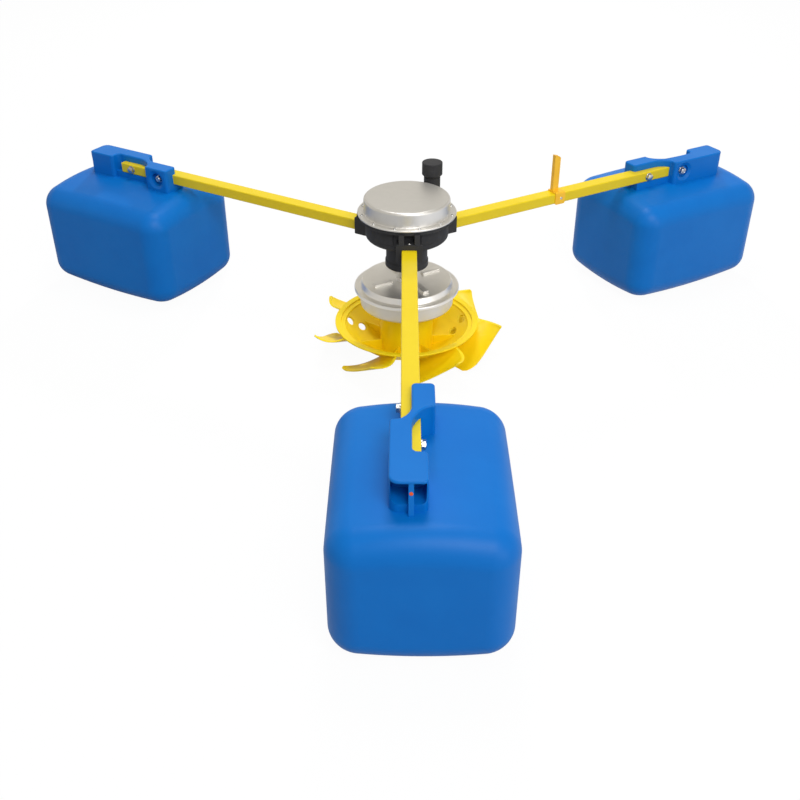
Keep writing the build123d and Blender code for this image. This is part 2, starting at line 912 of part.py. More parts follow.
# Motor cover with its ribs
with BuildPart() as motor_cover:
    with BuildSketch(axial):
        seam_radius = motor_flange_radius - motor_sheet
        housing_radius = bearing_seat + bearing_wall
        with BuildLine():
            FilletPolyline(
                (shaft_radius + shaft_run_gap, motor_boss_top),
                (motor_boss_radius, motor_boss_top),
                (motor_boss_radius, motor_top),
                (motor_cover_radius, motor_top),
                (motor_shoulder_radius, motor_flange_top),
                (motor_flange_radius, motor_flange_top),
                (motor_flange_radius, motor_flange_top - motor_skirt),
                (seam_radius, motor_flange_top - motor_skirt),
                (seam_radius, motor_flange_underside),
                (motor_shoulder_radius - motor_sheet, motor_flange_underside),
                (motor_cover_radius - motor_sheet, motor_underside),
                (housing_radius, motor_underside),
                (housing_radius, upper_bearing_bottom),
                (bearing_seat, upper_bearing_bottom),
                (bearing_seat, motor_underside),
                (shaft_radius + shaft_run_gap, motor_underside),
                radius=(0, 1, 2, 3, 3, 4.5, 1, 0, 0, 2, 2, 2, 1, 0, 0, 0),
                close=True,
            )
        make_face()
    revolve(axis=Axis.Z)
    with BuildSketch(level(motor_top - motor_plate / 2)):
        with PolarLocations((rib_inner + rib_outer) / 2, rib_count, start_angle=rib_turn):
            RectangleRounded(rib_outer - rib_inner, rib_width, rib_round)
    extrude(amount=rib_height + motor_plate / 2)
save(motor_cover.part, "motor_cover")

# Motor can, closed at the bottom, with the lower bearing's housing and a ring for the impeller's bolts
with BuildPart() as motor_can:
    boss_inner = impeller_bolt_circle - impeller_boss_half_width
    boss_outer = impeller_bolt_circle + impeller_boss_half_width
    boss_top = can_floor + impeller_boss_height
    can_flange_radius = motor_flange_radius - motor_sheet - seam_gap
    with BuildSketch(axial):
        with BuildLine():
            FilletPolyline(
                (0, can_bottom),
                (can_radius, can_bottom),
                (can_radius, motor_flange_underside - can_flange_sheet),
                (can_flange_radius, motor_flange_underside - can_flange_sheet),
                (can_flange_radius, motor_flange_underside),
                (can_bore, motor_flange_underside),
                (can_bore, can_floor),
                (boss_outer, can_floor),
                (boss_outer, boss_top),
                (boss_inner, boss_top),
                (bearing_seat + bearing_wall / 2, lower_bearing_top),
                (bearing_seat, lower_bearing_top),
                (bearing_seat, can_floor),
                (bearing_relief_radius, can_floor),
                (bearing_relief_radius, can_floor - bearing_relief),
                (0, can_floor - bearing_relief),
                radius=(0, can_round, 1.5, 0, 0, 0, 3, 0, 0, 0, 0, 0, 0, 0, 0, 0),
                close=True,
            )
        make_face()
    revolve(axis=Axis.Z)
    with BuildSketch(level(can_bottom)):
        with PolarLocations(impeller_bolt_circle, impeller_bolts):
            Circle(impeller_bolt_radius + thread_fit)
    extrude(amount=can_plate + impeller_boss_height - impeller_boss_roof, mode=Mode.SUBTRACT)
save(motor_can.part, "motor_can")

# Bearings, stator and magnets
bearing_places = {"bearing_upper": upper_bearing_bottom, "bearing_lower": can_floor}
for name, bottom in bearing_places.items():
    with BuildPart() as bearing:
        with BuildSketch(level(bottom)):
            Circle(bearing_radius)
            Circle(bearing_bore, mode=Mode.SUBTRACT)
        extrude(amount=bearing_width)
    save(bearing.part, name)

stator_bottom = can_floor + stator_foot
stator_middle = (upper_bearing_bottom + lower_bearing_top) / 2
stator_outer = magnet_inner - air_gap
stator = ring_of_revolution(
    (
        (shaft_shoulder_radius + round_fit, stator_middle - stator_web / 2),
        (stator_inner, stator_middle - stator_web / 2),
        (stator_inner, stator_bottom),
        (stator_outer, stator_bottom),
        (stator_outer, stator_bottom + stator_height),
        (stator_inner, stator_bottom + stator_height),
        (stator_inner, stator_middle + stator_web / 2),
        (shaft_shoulder_radius + round_fit, stator_middle + stator_web / 2),
    )
)
save(stator, "stator")

with BuildPart() as magnet_ring:
    with BuildSketch(level(can_floor + magnet_foot)):
        Circle(can_bore - round_fit)
        Circle(magnet_inner, mode=Mode.SUBTRACT)
    extrude(amount=magnet_height)
save(magnet_ring.part, "magnet_ring")


# Impeller blade: level strips along a curved outer edge, lofted from tip to heel
def blend(share, start, bow, end):
    """A value on a quadratic curve between a start and an end, drawn towards a bow value."""
    return (1 - share) ** 2 * start + 2 * share * (1 - share) * bow + share**2 * end


def around(radius, turn):
    """A flat point by its radius and its angle from the first blade's tip."""
    a = radians(turn + blade_turn)
    return Vector(radius * cos(a), radius * sin(a))


with BuildPart() as blade:
    for step in range(blade_sections):
        share = step / (blade_sections - 1)
        outer_radius = blend(share, tip_radius, bow_radius, heel_radius)
        outer_turn = blend(share, 0, bow_turn, heel_turn)
        height = blend(share, tip_height, bow_height, heel_height)
        fall = (tip_height - height) / (tip_height - heel_height)
        inner_radius = root_top_radius + (column_radius - root_top_radius) * fall
        lead = root_turn / (tip_radius - root_top_radius) * (1 - fall)
        inner_turn = outer_turn + lead * (outer_radius - inner_radius)
        middle_turn = (inner_turn + outer_turn) / 2
        root = around(inner_radius, inner_turn)
        edge = around(outer_radius, outer_turn)
        half = (edge - root).normalized().rotate(Axis.Z, 90) * blade_strip / 2
        with BuildSketch(level(height)):
            with BuildLine():
                Polyline(root - half, edge - half, edge + half, root + half, close=True)
            make_face()
    loft()
    # The heel's corner, rounded by a ring that takes the lower edge away
    low_edge = (
        blend(heel_share, tip_radius, bow_radius, heel_radius) + edge_clear,
        blend(heel_share, tip_height, bow_height, heel_height),
    )
    with BuildSketch(axial):
        with BuildLine():
            corner = FilletPolyline(
                (heel_radius - 2 * heel_round, heel_height - edge_clear),
                (heel_radius, heel_height - edge_clear),
                low_edge,
                radius=heel_round,
            )
            Polyline(
                corner @ 1,
                (tip_radius, low_edge[1]),
                (tip_radius, heel_height - heel_round),
                (heel_radius - 2 * heel_round, heel_height - heel_round),
                corner @ 0,
            )
        make_face()
    revolve(axis=Axis.Z, mode=Mode.SUBTRACT)

bowl_outside = (
    (column_radius - column_wall, bowl_rim_top),
    (bowl_rim_radius, bowl_rim_top),
    (bowl_rim_radius, bowl_rim_top - bowl_rim_depth),
    (bowl_second_step_radius + bowl_step_skin, bowl_rim_top - 2 * bowl_step - bowl_step_sink),
    (bowl_knee_radius + bowl_knee_skin[0], bowl_knee_height - bowl_knee_skin[1]),
    (bowl_low_radius + bowl_low_skin[0], bowl_low_height - bowl_low_skin[1]),
    (column_radius - column_wall, bowl_foot_height - bowl_foot_skin),
)

with BuildPart() as impeller:
    with BuildSketch(axial):
        with BuildLine():
            FilletPolyline(
                *bowl_outside, radius=(0, 1.5, 1.5, 0, bowl_knee_round, bowl_knee_round, 0), close=True
            )
        make_face()
    revolve(axis=Axis.Z)
    with PolarLocations(0, blade_count):
        add(blade.part)
    # The bowl's hollow, with its two steps under the rim
    with BuildSketch(axial):
        with BuildLine():
            FilletPolyline(
                (0, bowl_rim_top + bowl_step),
                (bowl_first_step_radius, bowl_rim_top + bowl_step),
                (bowl_first_step_radius, bowl_rim_top - bowl_step),
                (bowl_second_step_radius, bowl_rim_top - bowl_step),
                (bowl_second_step_radius, bowl_rim_top - 2 * bowl_step),
                (bowl_knee_radius, bowl_knee_height),
                (bowl_low_radius, bowl_low_height),
                (column_radius, bowl_foot_height),
                (0, bowl_foot_height),
                radius=(0, 0, 1, 1, 3, bowl_knee_round, bowl_knee_round, 0, 0),
                close=True,
            )
        make_face()
    revolve(axis=Axis.Z, mode=Mode.SUBTRACT)
    # The webs, trimmed to the bowl
    for index in range(blade_count):
        turn = blade_turn + web_turn + index * 360 / blade_count
        a = radians(turn)
        web_plane = Plane(
            origin=(0, 0, arm_z), x_dir=(cos(a), sin(a), 0), z_dir=(sin(a), -cos(a), 0)
        )
        with BuildSketch(web_plane):
            with BuildLine():
                Polyline(
                    (column_radius - column_wall / 2, web_inner_top),
                    (web_outer_radius, web_outer_top),
                    (web_outer_radius, bowl_knee_height - bowl_wall / 2),
                    (bowl_low_radius, bowl_low_height - bowl_wall / 2),
                    (column_radius - column_wall / 2, bowl_foot_height - bowl_wall / 2),
                    close=True,
                )
            make_face()
        extrude(amount=web_thickness / 2, both=True)
    # The column, open below, and its plate under the motor
    add(
        ring_of_revolution(
            (
                (column_radius - column_wall, heel_height),
                (column_radius, heel_height),
                (column_radius, can_bottom),
                (0, can_bottom),
                (0, can_bottom - column_plate),
                (column_radius - column_wall, can_bottom - column_plate),
            )
        )
    )
    add(
        ring_of_revolution(
            (
                (0, heel_height - bowl_step),
                (column_radius - column_wall, heel_height - bowl_step),
                (column_radius - column_wall, can_bottom - column_plate),
                (0, can_bottom - column_plate),
            )
        ),
        mode=Mode.SUBTRACT,
    )
    for hole_reach, hole_turn in hole_places:
        with BuildSketch(level(bowl_knee_height - 3 * bowl_wall)):
            with PolarLocations(
                hole_reach, blade_count, start_angle=blade_turn + web_turn + hole_turn
            ):
                Circle(hole_radius)
        extrude(amount=bowl_rim_top - bowl_knee_height, mode=Mode.SUBTRACT)
    with BuildSketch(level(can_bottom)):
        with PolarLocations(impeller_bolt_circle, impeller_bolts):
            Circle(impeller_bolt_radius + bolt_gap)
    extrude(amount=-column_plate, mode=Mode.SUBTRACT)
save(impeller.part, "impeller")

with BuildPart() as impeller_bolt_set:
    plate_underside = can_bottom - column_plate
    with BuildSketch(level(plate_underside)):
        with PolarLocations(impeller_bolt_circle, impeller_bolts):
            Circle(impeller_bolt_head_radius)
    extrude(amount=-impeller_bolt_head_height)
    with BuildSketch(level(plate_underside)):
        with PolarLocations(impeller_bolt_circle, impeller_bolts):
            Circle(impeller_bolt_radius)
    extrude(amount=impeller_bolt_grip)
save(impeller_bolt_set.part, "impeller_bolts")

# Cable hook: a saddle over the arm and an upright trough with a slanted mouth
hook_turn = arm_turns["right"]
a = radians(hook_turn)
hook_section = Plane(
    origin=arm_point(hook_turn, hook_start, 0, 0), x_dir=(-sin(a), cos(a), 0), z_dir=(cos(a), sin(a), 0)
)
hook_side = Plane(
    origin=arm_point(hook_turn, 0, 0, 0), x_dir=(cos(a), sin(a), 0), z_dir=(sin(a), -cos(a), 0)
)
saddle_top = arm_half_height + hook_sheet
saddle_face = -arm_half_width - hook_sheet
with BuildPart() as cable_hook:
    with BuildSketch(hook_section):
        with BuildLine():
            FilletPolyline(
                (hook_back, arm_half_height),
                (hook_back, saddle_top),
                (saddle_face, saddle_top),
                (saddle_face, -hook_drop),
                (-arm_half_width, -hook_drop),
                (-arm_half_width, arm_half_height),
                radius=(0, 0, arm_corner + hook_sheet, 0, 0, arm_corner - seat_gap),
                close=True,
            )
        make_face()
    extrude(amount=hook_end - hook_start)
    with BuildSketch(hook_side.offset(hook_post_front)):
        with BuildLine():
            Polyline(
                (hook_post_start, saddle_top),
                (hook_post_start + hook_post_length, saddle_top),
                (hook_post_start + hook_post_length, hook_front_top),
                (hook_post_start, hook_back_top),
                close=True,
            )
        make_face()
    extrude(amount=-hook_post_depth)
    with BuildSketch(hook_side.offset(hook_post_front - hook_sheet)):
        with Locations((hook_post_start + hook_sheet, saddle_top + hook_sheet)):
            Rectangle(
                hook_post_length, hook_back_top, align=(Align.MIN, Align.MIN)
            )
    extrude(amount=-hook_post_depth + 2 * hook_sheet, mode=Mode.SUBTRACT)
    with BuildSketch(bolt_plane(hook_turn, rivet_reach, -1, arm_half_width)):
        Circle(rivet_radius + round_fit)
    extrude(amount=hook_sheet, mode=Mode.SUBTRACT)
save(cable_hook.part, "cable_hook")

with BuildPart() as hook_rivet:
    with BuildSketch(bolt_plane(hook_turn, rivet_reach, -1, arm_half_width + hook_sheet)):
        Circle(rivet_head_radius)
    extrude(amount=rivet_head_height)
    with BuildSketch(bolt_plane(hook_turn, rivet_reach, -1, arm_half_width + hook_sheet)):
        Circle(rivet_radius)
    extrude(amount=-rivet_length)
save(hook_rivet.part, "hook_rivet")
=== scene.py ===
# %% [markdown]
# # A floating pond aerator, dressed for its portrait
#
# The real machine stands in a pond on three blue floats. Yellow arms join the floats to a
# black hub in the middle. Under the hub hangs a flat motor, and under the motor a yellow
# impeller that throws water outwards.
#
# The CAD model already gives every solid its place and its main form. What is left for
# this script is what a camera sees: the finish of each surface, the small fasteners with
# their real edges and recesses, a studio, and the camera. The CAD parts are loaded as a
# fixed frame and are never moved, so each new piece is built where its CAD part is.

import math

import bmesh
import bpy
from mathutils import Matrix, Vector
from mathutils.geometry import intersect_line_sphere_2d


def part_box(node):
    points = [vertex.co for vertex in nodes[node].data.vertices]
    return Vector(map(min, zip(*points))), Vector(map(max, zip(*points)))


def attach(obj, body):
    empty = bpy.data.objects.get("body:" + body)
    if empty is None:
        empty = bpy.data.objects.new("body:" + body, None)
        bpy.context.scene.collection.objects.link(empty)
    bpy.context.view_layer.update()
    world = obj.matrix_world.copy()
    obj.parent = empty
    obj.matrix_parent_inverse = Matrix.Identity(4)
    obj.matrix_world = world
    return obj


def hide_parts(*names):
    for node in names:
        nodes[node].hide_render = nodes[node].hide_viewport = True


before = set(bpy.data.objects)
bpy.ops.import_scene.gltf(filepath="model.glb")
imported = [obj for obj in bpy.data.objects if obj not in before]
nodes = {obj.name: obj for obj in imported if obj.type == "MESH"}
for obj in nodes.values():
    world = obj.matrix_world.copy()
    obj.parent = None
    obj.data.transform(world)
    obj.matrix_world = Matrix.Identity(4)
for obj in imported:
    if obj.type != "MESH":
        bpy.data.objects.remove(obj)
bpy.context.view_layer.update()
print("CAD parts:", len(nodes))

# %% [markdown]
# ## Lengths and directions
#
# Blender works in metres, and the drawing of the machine is in millimetres, so one factor
# turns the one into the other. The three arms leave the hub at equal angles. They don't
# point at the axis: each passes it 6 mm to one side. A small function gives a point on an
# arm by how far out, how far across and how high it is, and everything that sits on an
# arm is placed with it.

# %% Lengths and directions
MM = 0.001
ARM_HEIGHT = 364 * MM
ARM_OFFSET = 6 * MM
ARM_TURNS = {"front": -90, "right": 30, "left": 150}
UP = Vector((0, 0, 1))


def directions_at(turn):
    """The level directions outwards at a turn, in degrees, and to its left."""
    a = math.radians(turn)
    return Vector((math.cos(a), math.sin(a), 0)), Vector((-math.sin(a), math.cos(a), 0))


def arm_place(turn, along, across, height):
    """A point by its distance out, across and over the arm's centreline, all in mm."""
    out, left = directions_at(turn)
    return out * along * MM + left * (ARM_OFFSET + across * MM) + UP * (ARM_HEIGHT + height * MM)


def turned_to(direction, place, spin=0.0):
    """A transform that takes the upright axis to a direction, at a place."""
    turn = direction.to_track_quat("Z", "Y").to_matrix().to_4x4()
    return Matrix.Translation(place) @ turn @ Matrix.Rotation(spin, 4, "Z")


print("Front arm ends at", [round(v, 4) for v in arm_place(-90, 1021, 0, 0)])

# %% [markdown]
# ## The camera
#
# The portrait is taken from above the front float, looking down by about 34 degrees, so
# the tops of the floats and the lid of the hub all show. A lens of about 45 mm gives the
# front float its large size beside the two at the back. The camera is set by its place,
# its lens and the two angles that it looks down and to the left.

# %% Camera
LENS = 45.54
SENSOR = 36
CAMERA_PLACE = (-0.00896, -2.5667, 1.5353)
LOOK_DOWN = 33.91
LOOK_LEFT = 0.22

camera_data = bpy.data.cameras.new("portrait_camera")
camera_data.lens = LENS
camera_data.sensor_width = SENSOR
camera = bpy.data.objects.new("portrait_camera", camera_data)
camera.location = CAMERA_PLACE
camera.rotation_euler = (math.radians(90 - LOOK_DOWN), 0, math.radians(LOOK_LEFT))
bpy.context.scene.collection.objects.link(camera)
bpy.context.scene.camera = camera
print("Camera lens:", camera_data.lens)

# %% [markdown]
# ## Joining shader nodes
#
# Floor, room and materials are small graphs of shader nodes. Three helpers keep them
# short: one draws a link, one does arithmetic on two values, and one mixes two colours.
# Each of the last two takes a number or colour as well as another node's output.

# %% Helpers for shader nodes
WHITE = (1, 1, 1, 1)


def link(tree, source, target):
    tree.links.new(source, target)


def arithmetic(tree, operation, first, second):
    """A Math node fed by two sockets or numbers. Gives its output socket."""
    node = tree.nodes.new("ShaderNodeMath")
    node.operation = operation
    for index, value in enumerate((first, second)):
        if isinstance(value, (int, float)):
            node.inputs[index].default_value = value
        else:
            link(tree, value, node.inputs[index])
    return node.outputs[0]


def mix_colours(tree, factor, first, second):
    """A Mix node for colours. Each colour is a socket or four numbers."""
    node = tree.nodes.new("ShaderNodeMix")
    node.data_type = "RGBA"
    link(tree, factor, node.inputs[0])
    for index, value in ((6, first), (7, second)):
        if isinstance(value, tuple):
            node.inputs[index].default_value = value
        else:
            link(tree, value, node.inputs[index])
    return node.outputs[2]


# %% [markdown]
# ## The studio floor
#
# The machine stands on a pale floor, which is a single flat face. To the camera it is
# white and lit mostly by itself, while a small share of its shading still comes from the
# lamps and keeps the soft shadow under the floats. All other light meets grey paint, so
# that the floor throws less of it back up at the black hub. Most of what the metal lid
# shows is what it mirrors, so in mirrors the floor is dark on the left and white on the
# right.

# %% Floor
FLOOR_HALF = 30
FLOOR_GREY = (0.45, 0.45, 0.45, 1)
FLOOR_GLOW = 0.96
MIRRORED_GLOW = {"left": 0.05, "right": 1.0}
MIRRORED_HALF_WIDTH = 1.3
MIRRORED_TINT = (0.93, 0.95, 1, 1)

floor_mesh = bpy.data.meshes.new("studio_floor")
bm = bmesh.new()
bmesh.ops.create_grid(bm, x_segments=1, y_segments=1, size=FLOOR_HALF)
bm.to_mesh(floor_mesh)
bm.free()
floor = bpy.data.objects.new("studio_floor", floor_mesh)
bpy.context.scene.collection.objects.link(floor)

floor_paint = bpy.data.materials.new("floor_paint")
floor_paint.use_nodes = True
tree = floor_paint.node_tree
tree.nodes.clear()
path = tree.nodes.new("ShaderNodeLightPath")
matt = tree.nodes.new("ShaderNodeBsdfDiffuse")
paint = mix_colours(tree, path.outputs["Is Camera Ray"], FLOOR_GREY, WHITE)
link(tree, paint, matt.inputs["Color"])
glow = tree.nodes.new("ShaderNodeEmission")
glow_colour = mix_colours(tree, path.outputs["Is Glossy Ray"], WHITE, MIRRORED_TINT)
link(tree, glow_colour, glow.inputs["Color"])
where = tree.nodes.new("ShaderNodeTexCoord")
sides = tree.nodes.new("ShaderNodeSeparateXYZ")
link(tree, where.outputs["Object"], sides.inputs[0])
across = tree.nodes.new("ShaderNodeMapRange")
across.inputs["From Min"].default_value = -MIRRORED_HALF_WIDTH
across.inputs["From Max"].default_value = MIRRORED_HALF_WIDTH
across.inputs["To Min"].default_value = MIRRORED_GLOW["left"]
across.inputs["To Max"].default_value = MIRRORED_GLOW["right"]
link(tree, sides.outputs["X"], across.inputs["Value"])
seen = arithmetic(tree, "MULTIPLY", path.outputs["Is Camera Ray"], FLOOR_GLOW)
mirrored = arithmetic(tree, "MULTIPLY", path.outputs["Is Glossy Ray"], across.outputs["Result"])
mixed = tree.nodes.new("ShaderNodeMixShader")
link(tree, arithmetic(tree, "MAXIMUM", seen, mirrored), mixed.inputs["Fac"])
link(tree, matt.outputs[0], mixed.inputs[1])
link(tree, glow.outputs[0], mixed.inputs[2])
floor_out = tree.nodes.new("ShaderNodeOutputMaterial")
link(tree, mixed.outputs[0], floor_out.inputs["Surface"])
floor_mesh.materials.append(floor_paint)
print("Floor glow:", FLOOR_GLOW)

# %% [markdown]
# ## The room
#
# The room is the world. To the camera it is plain white, and on the machine it is an even,
# weak light. In mirrors it is slightly warm, and brighter near the horizon than overhead,
# as in a studio with white walls and a grey ceiling. That difference is what gives the
# metal lid its darker top and its brighter rim.

# %% Room
ROOM_LIGHT = 0.42
HORIZON_GLOSS = 0.9
CEILING_GLOSS = 0.45
CEILING_FROM = 0.8
ROOM_TINT = (1, 0.955, 0.865, 1)

world = bpy.data.worlds.new("white_room")
bpy.context.scene.world = world
world.use_nodes = True
tree = world.node_tree
tree.nodes.clear()
path = tree.nodes.new("ShaderNodeLightPath")
coords = tree.nodes.new("ShaderNodeTexCoord")
split = tree.nodes.new("ShaderNodeSeparateXYZ")
link(tree, coords.outputs["Generated"], split.inputs[0])
fall = tree.nodes.new("ShaderNodeMapRange")
fall.inputs["From Min"].default_value = 0.0
fall.inputs["From Max"].default_value = CEILING_FROM
fall.inputs["To Min"].default_value = HORIZON_GLOSS
fall.inputs["To Max"].default_value = CEILING_GLOSS
link(tree, split.outputs["Z"], fall.inputs["Value"])
strength = tree.nodes.new("ShaderNodeMix")
strength.inputs["A"].default_value = ROOM_LIGHT
link(tree, path.outputs["Is Glossy Ray"], strength.inputs["Factor"])
link(tree, fall.outputs["Result"], strength.inputs["B"])
room = tree.nodes.new("ShaderNodeBackground")
room_colour = mix_colours(tree, path.outputs["Is Glossy Ray"], WHITE, ROOM_TINT)
link(tree, room_colour, room.inputs["Color"])
link(tree, strength.outputs["Result"], room.inputs["Strength"])
plain_white = tree.nodes.new("ShaderNodeBackground")
plain_white.inputs["Color"].default_value = WHITE
both = tree.nodes.new("ShaderNodeMixShader")
link(tree, path.outputs["Is Camera Ray"], both.inputs["Fac"])
link(tree, room.outputs[0], both.inputs[1])
link(tree, plain_white.outputs[0], both.inputs[2])
world_out = tree.nodes.new("ShaderNodeOutputWorld")
link(tree, both.outputs[0], world_out.inputs["Surface"])
bpy.context.scene.view_settings.view_transform = "Standard"
print("Room light:", ROOM_LIGHT)

# %% [markdown]
# ## The lamps
#
# Four area lamps light the machine. Area lamps are chosen because small lamps would give
# hard shadows, which the soft portrait doesn't have. The key lamp is the strongest and
# hangs high behind the camera, a little to its right. The top lamp hangs over the hub, and
# the side lamp stands low in front on the right. The back lamp is the smallest, so that it
# can cast the hub's shadow on the front arm. The lid would mirror it as a burnt-out spot,
# so mirrors don't see it.

# %% Lamps
MACHINE_MIDDLE = (0, 0, 0.2)
HUB_TOP = (0, 0, 0.3)


def soft_lamp(name, place, aim, size, watts):
    """A square area lamp at a place, pointed at an aim."""
    data = bpy.data.lights.new(name, "AREA")
    data.shape = "SQUARE"
    data.size = size
    data.energy = watts
    lamp = bpy.data.objects.new(name, data)
    lamp.location = place
    lamp.rotation_euler = (Vector(aim) - Vector(place)).to_track_quat("-Z", "Y").to_euler()
    bpy.context.scene.collection.objects.link(lamp)
    return lamp


lamps = [
    soft_lamp("key_lamp", (1.6, -4.5, 4.8), MACHINE_MIDDLE, 2.6, 172),
    soft_lamp("top_lamp", (0, 0.5, 3.4), MACHINE_MIDDLE, 1.2, 34),
    soft_lamp("side_lamp", (4.6, -4.6, 1.7), MACHINE_MIDDLE, 2.4, 55),
    soft_lamp("back_lamp", (0.1, 4.6, 2.75), HUB_TOP, 0.45, 105),
]
back_lamp = lamps[-1]
back_lamp.visible_glossy = False
print("Lamps:", [lamp.name for lamp in lamps])

# %% [markdown]
# ## Effects that several finishes share
#
# Real surfaces are never one flat colour. Four effects come back in almost every finish
# here, so each is a node group that is built once:
#
# - mottle: slow, soft changes of tone, as in any moulded or painted surface
# - grain: the fine unevenness of the surface itself, for the bump
# - edge wear: a mask that is high where an edge has been rubbed
# - scratches: thin lines in several directions, where things slide past each other
#
# A group gives only masks and heights. The shader stays in each material, with its own
# values.

# %% Helpers for node groups
def new_group(name, inputs, outputs):
    """An empty shader node group with named value inputs and outputs."""
    group = bpy.data.node_groups.new(name, "ShaderNodeTree")
    for label, value in inputs.items():
        socket = group.interface.new_socket(label, in_out="INPUT", socket_type="NodeSocketFloat")
        socket.default_value = value
    for label in outputs:
        group.interface.new_socket(label, in_out="OUTPUT", socket_type="NodeSocketFloat")
    entry = group.nodes.new("NodeGroupInput")
    leave = group.nodes.new("NodeGroupOutput")
    return group, entry, leave


def noise(tree, vector, scale, detail, roughness=0.55):
    """A noise texture on a vector. Gives its output socket."""
    node = tree.nodes.new("ShaderNodeTexNoise")
    link(tree, vector, node.inputs["Vector"])
    if isinstance(scale, (int, float)):
        node.inputs["Scale"].default_value = scale
    else:
        link(tree, scale, node.inputs["Scale"])
    node.inputs["Detail"].default_value = detail
    node.inputs["Roughness"].default_value = roughness
    return node.outputs["Fac"]


def step_between(tree, value, low, high):
    """0 below low, 1 over high and smooth between them."""
    node = tree.nodes.new("ShaderNodeMapRange")
    node.interpolation_type = "SMOOTHSTEP"
    node.inputs["From Min"].default_value = low
    node.inputs["From Max"].default_value = high
    link(tree, value, node.inputs["Value"])
    return node.outputs["Result"]


def object_coordinates(tree):
    return tree.nodes.new("ShaderNodeTexCoord").outputs["Object"]


# %% Mottle and grain
mottle_group, entry, leave = new_group("mottle", {"Scale": 6.0}, ["Tone"])
where = object_coordinates(mottle_group)
slow = noise(mottle_group, where, entry.outputs["Scale"], 2)
faster = noise(mottle_group, where, arithmetic(mottle_group, "MULTIPLY", entry.outputs["Scale"], 5.3), 3)
tone = arithmetic(mottle_group, "ADD", arithmetic(mottle_group, "MULTIPLY", slow, 0.7),
                  arithmetic(mottle_group, "MULTIPLY", faster, 0.3))
link(mottle_group, tone, leave.inputs["Tone"])

grain_group, entry, leave = new_group("grain", {"Scale": 300.0, "Peel": 60.0}, ["Height"])
where = object_coordinates(grain_group)
fine = noise(grain_group, where, entry.outputs["Scale"], 2)
peel = noise(grain_group, where, entry.outputs["Peel"], 1)
height = arithmetic(grain_group, "ADD", arithmetic(grain_group, "MULTIPLY", fine, 0.35),
                    arithmetic(grain_group, "MULTIPLY", peel, 0.65))
link(grain_group, height, leave.inputs["Height"])
print("Groups:", mottle_group.name, grain_group.name)

# %% [markdown]
# The edge mask compares the true normal with one that is rounded over a small distance.
# Where the two differ there is an edge, and a noise breaks the mask up, because an edge
# never wears evenly. The scratches are a noise that is drawn out along one direction, cut
# so thin that only its crests are left, three times with different turns. A slow noise
# keeps them to patches.

# %% Edge wear and scratches
edge_group, entry, leave = new_group("edge_wear", {"Radius": 0.002, "Break": 90.0}, ["Mask"])
round_normal = edge_group.nodes.new("ShaderNodeBevel")
round_normal.samples = 4
link(edge_group, entry.outputs["Radius"], round_normal.inputs["Radius"])
true_normal = edge_group.nodes.new("ShaderNodeNewGeometry").outputs["Normal"]
match = edge_group.nodes.new("ShaderNodeVectorMath")
match.operation = "DOT_PRODUCT"
link(edge_group, round_normal.outputs[0], match.inputs[0])
link(edge_group, true_normal, match.inputs[1])
edge = arithmetic(edge_group, "SUBTRACT", 1.0, match.outputs["Value"])
edge = step_between(edge_group, edge, 0.02, 0.22)
broken = noise(edge_group, object_coordinates(edge_group), entry.outputs["Break"], 4, 0.65)
broken = step_between(edge_group, broken, 0.38, 0.68)
link(edge_group, arithmetic(edge_group, "MULTIPLY", edge, broken), leave.inputs["Mask"])

scratch_group, entry, leave = new_group("scratches", {"Scale": 14.0}, ["Mask"])
lines = None
for turn in ((0.3, 0.1, 0.5), (1.1, 0.7, -0.4), (-0.5, 1.3, 1.9)):
    mapping = scratch_group.nodes.new("ShaderNodeMapping")
    mapping.inputs["Rotation"].default_value = turn
    mapping.inputs["Scale"].default_value = (0.12, 3.0, 3.0)
    link(scratch_group, object_coordinates(scratch_group), mapping.inputs["Vector"])
    drawn = noise(scratch_group, mapping.outputs[0], entry.outputs["Scale"], 3, 0.7)
    drawn = step_between(scratch_group, drawn, 0.69, 0.735)
    lines = drawn if lines is None else arithmetic(scratch_group, "MAXIMUM", lines, drawn)
patches = noise(scratch_group, object_coordinates(scratch_group), 7, 2)
patches = step_between(scratch_group, patches, 0.42, 0.62)
link(scratch_group, arithmetic(scratch_group, "MULTIPLY", lines, patches), leave.inputs["Mask"])
print("Groups:", edge_group.name, scratch_group.name)

# %% [markdown]
# ## A finish
#
# Every finish is made in the same way. A base colour drifts a little towards a second
# tone with the mottle. Worn edges and scratches pull it towards a third. Roughness
# follows the same masks, and the grain gives a bump. What differs from one finish to the
# next is only values, so one function takes them and builds the nodes. Colours are
# written as on a screen, from 0 to 255, and turned to the linear values that light needs.

# %% The finish function
WEAR_ROUGHNESS = 0.15


def screen_colour(red, green, blue):
    """A linear colour from screen values of 0 to 255."""
    values = []
    for value in (red, green, blue):
        v = value / 255
        values.append(v / 12.92 if v <= 0.04045 else ((v + 0.055) / 1.055) ** 2.4)
    return (*values, 1.0)


def place_group(tree, group, **values):
    node = tree.nodes.new("ShaderNodeGroup")
    node.node_tree = group
    for label, value in values.items():
        node.inputs[label].default_value = value
    return node.outputs[0]


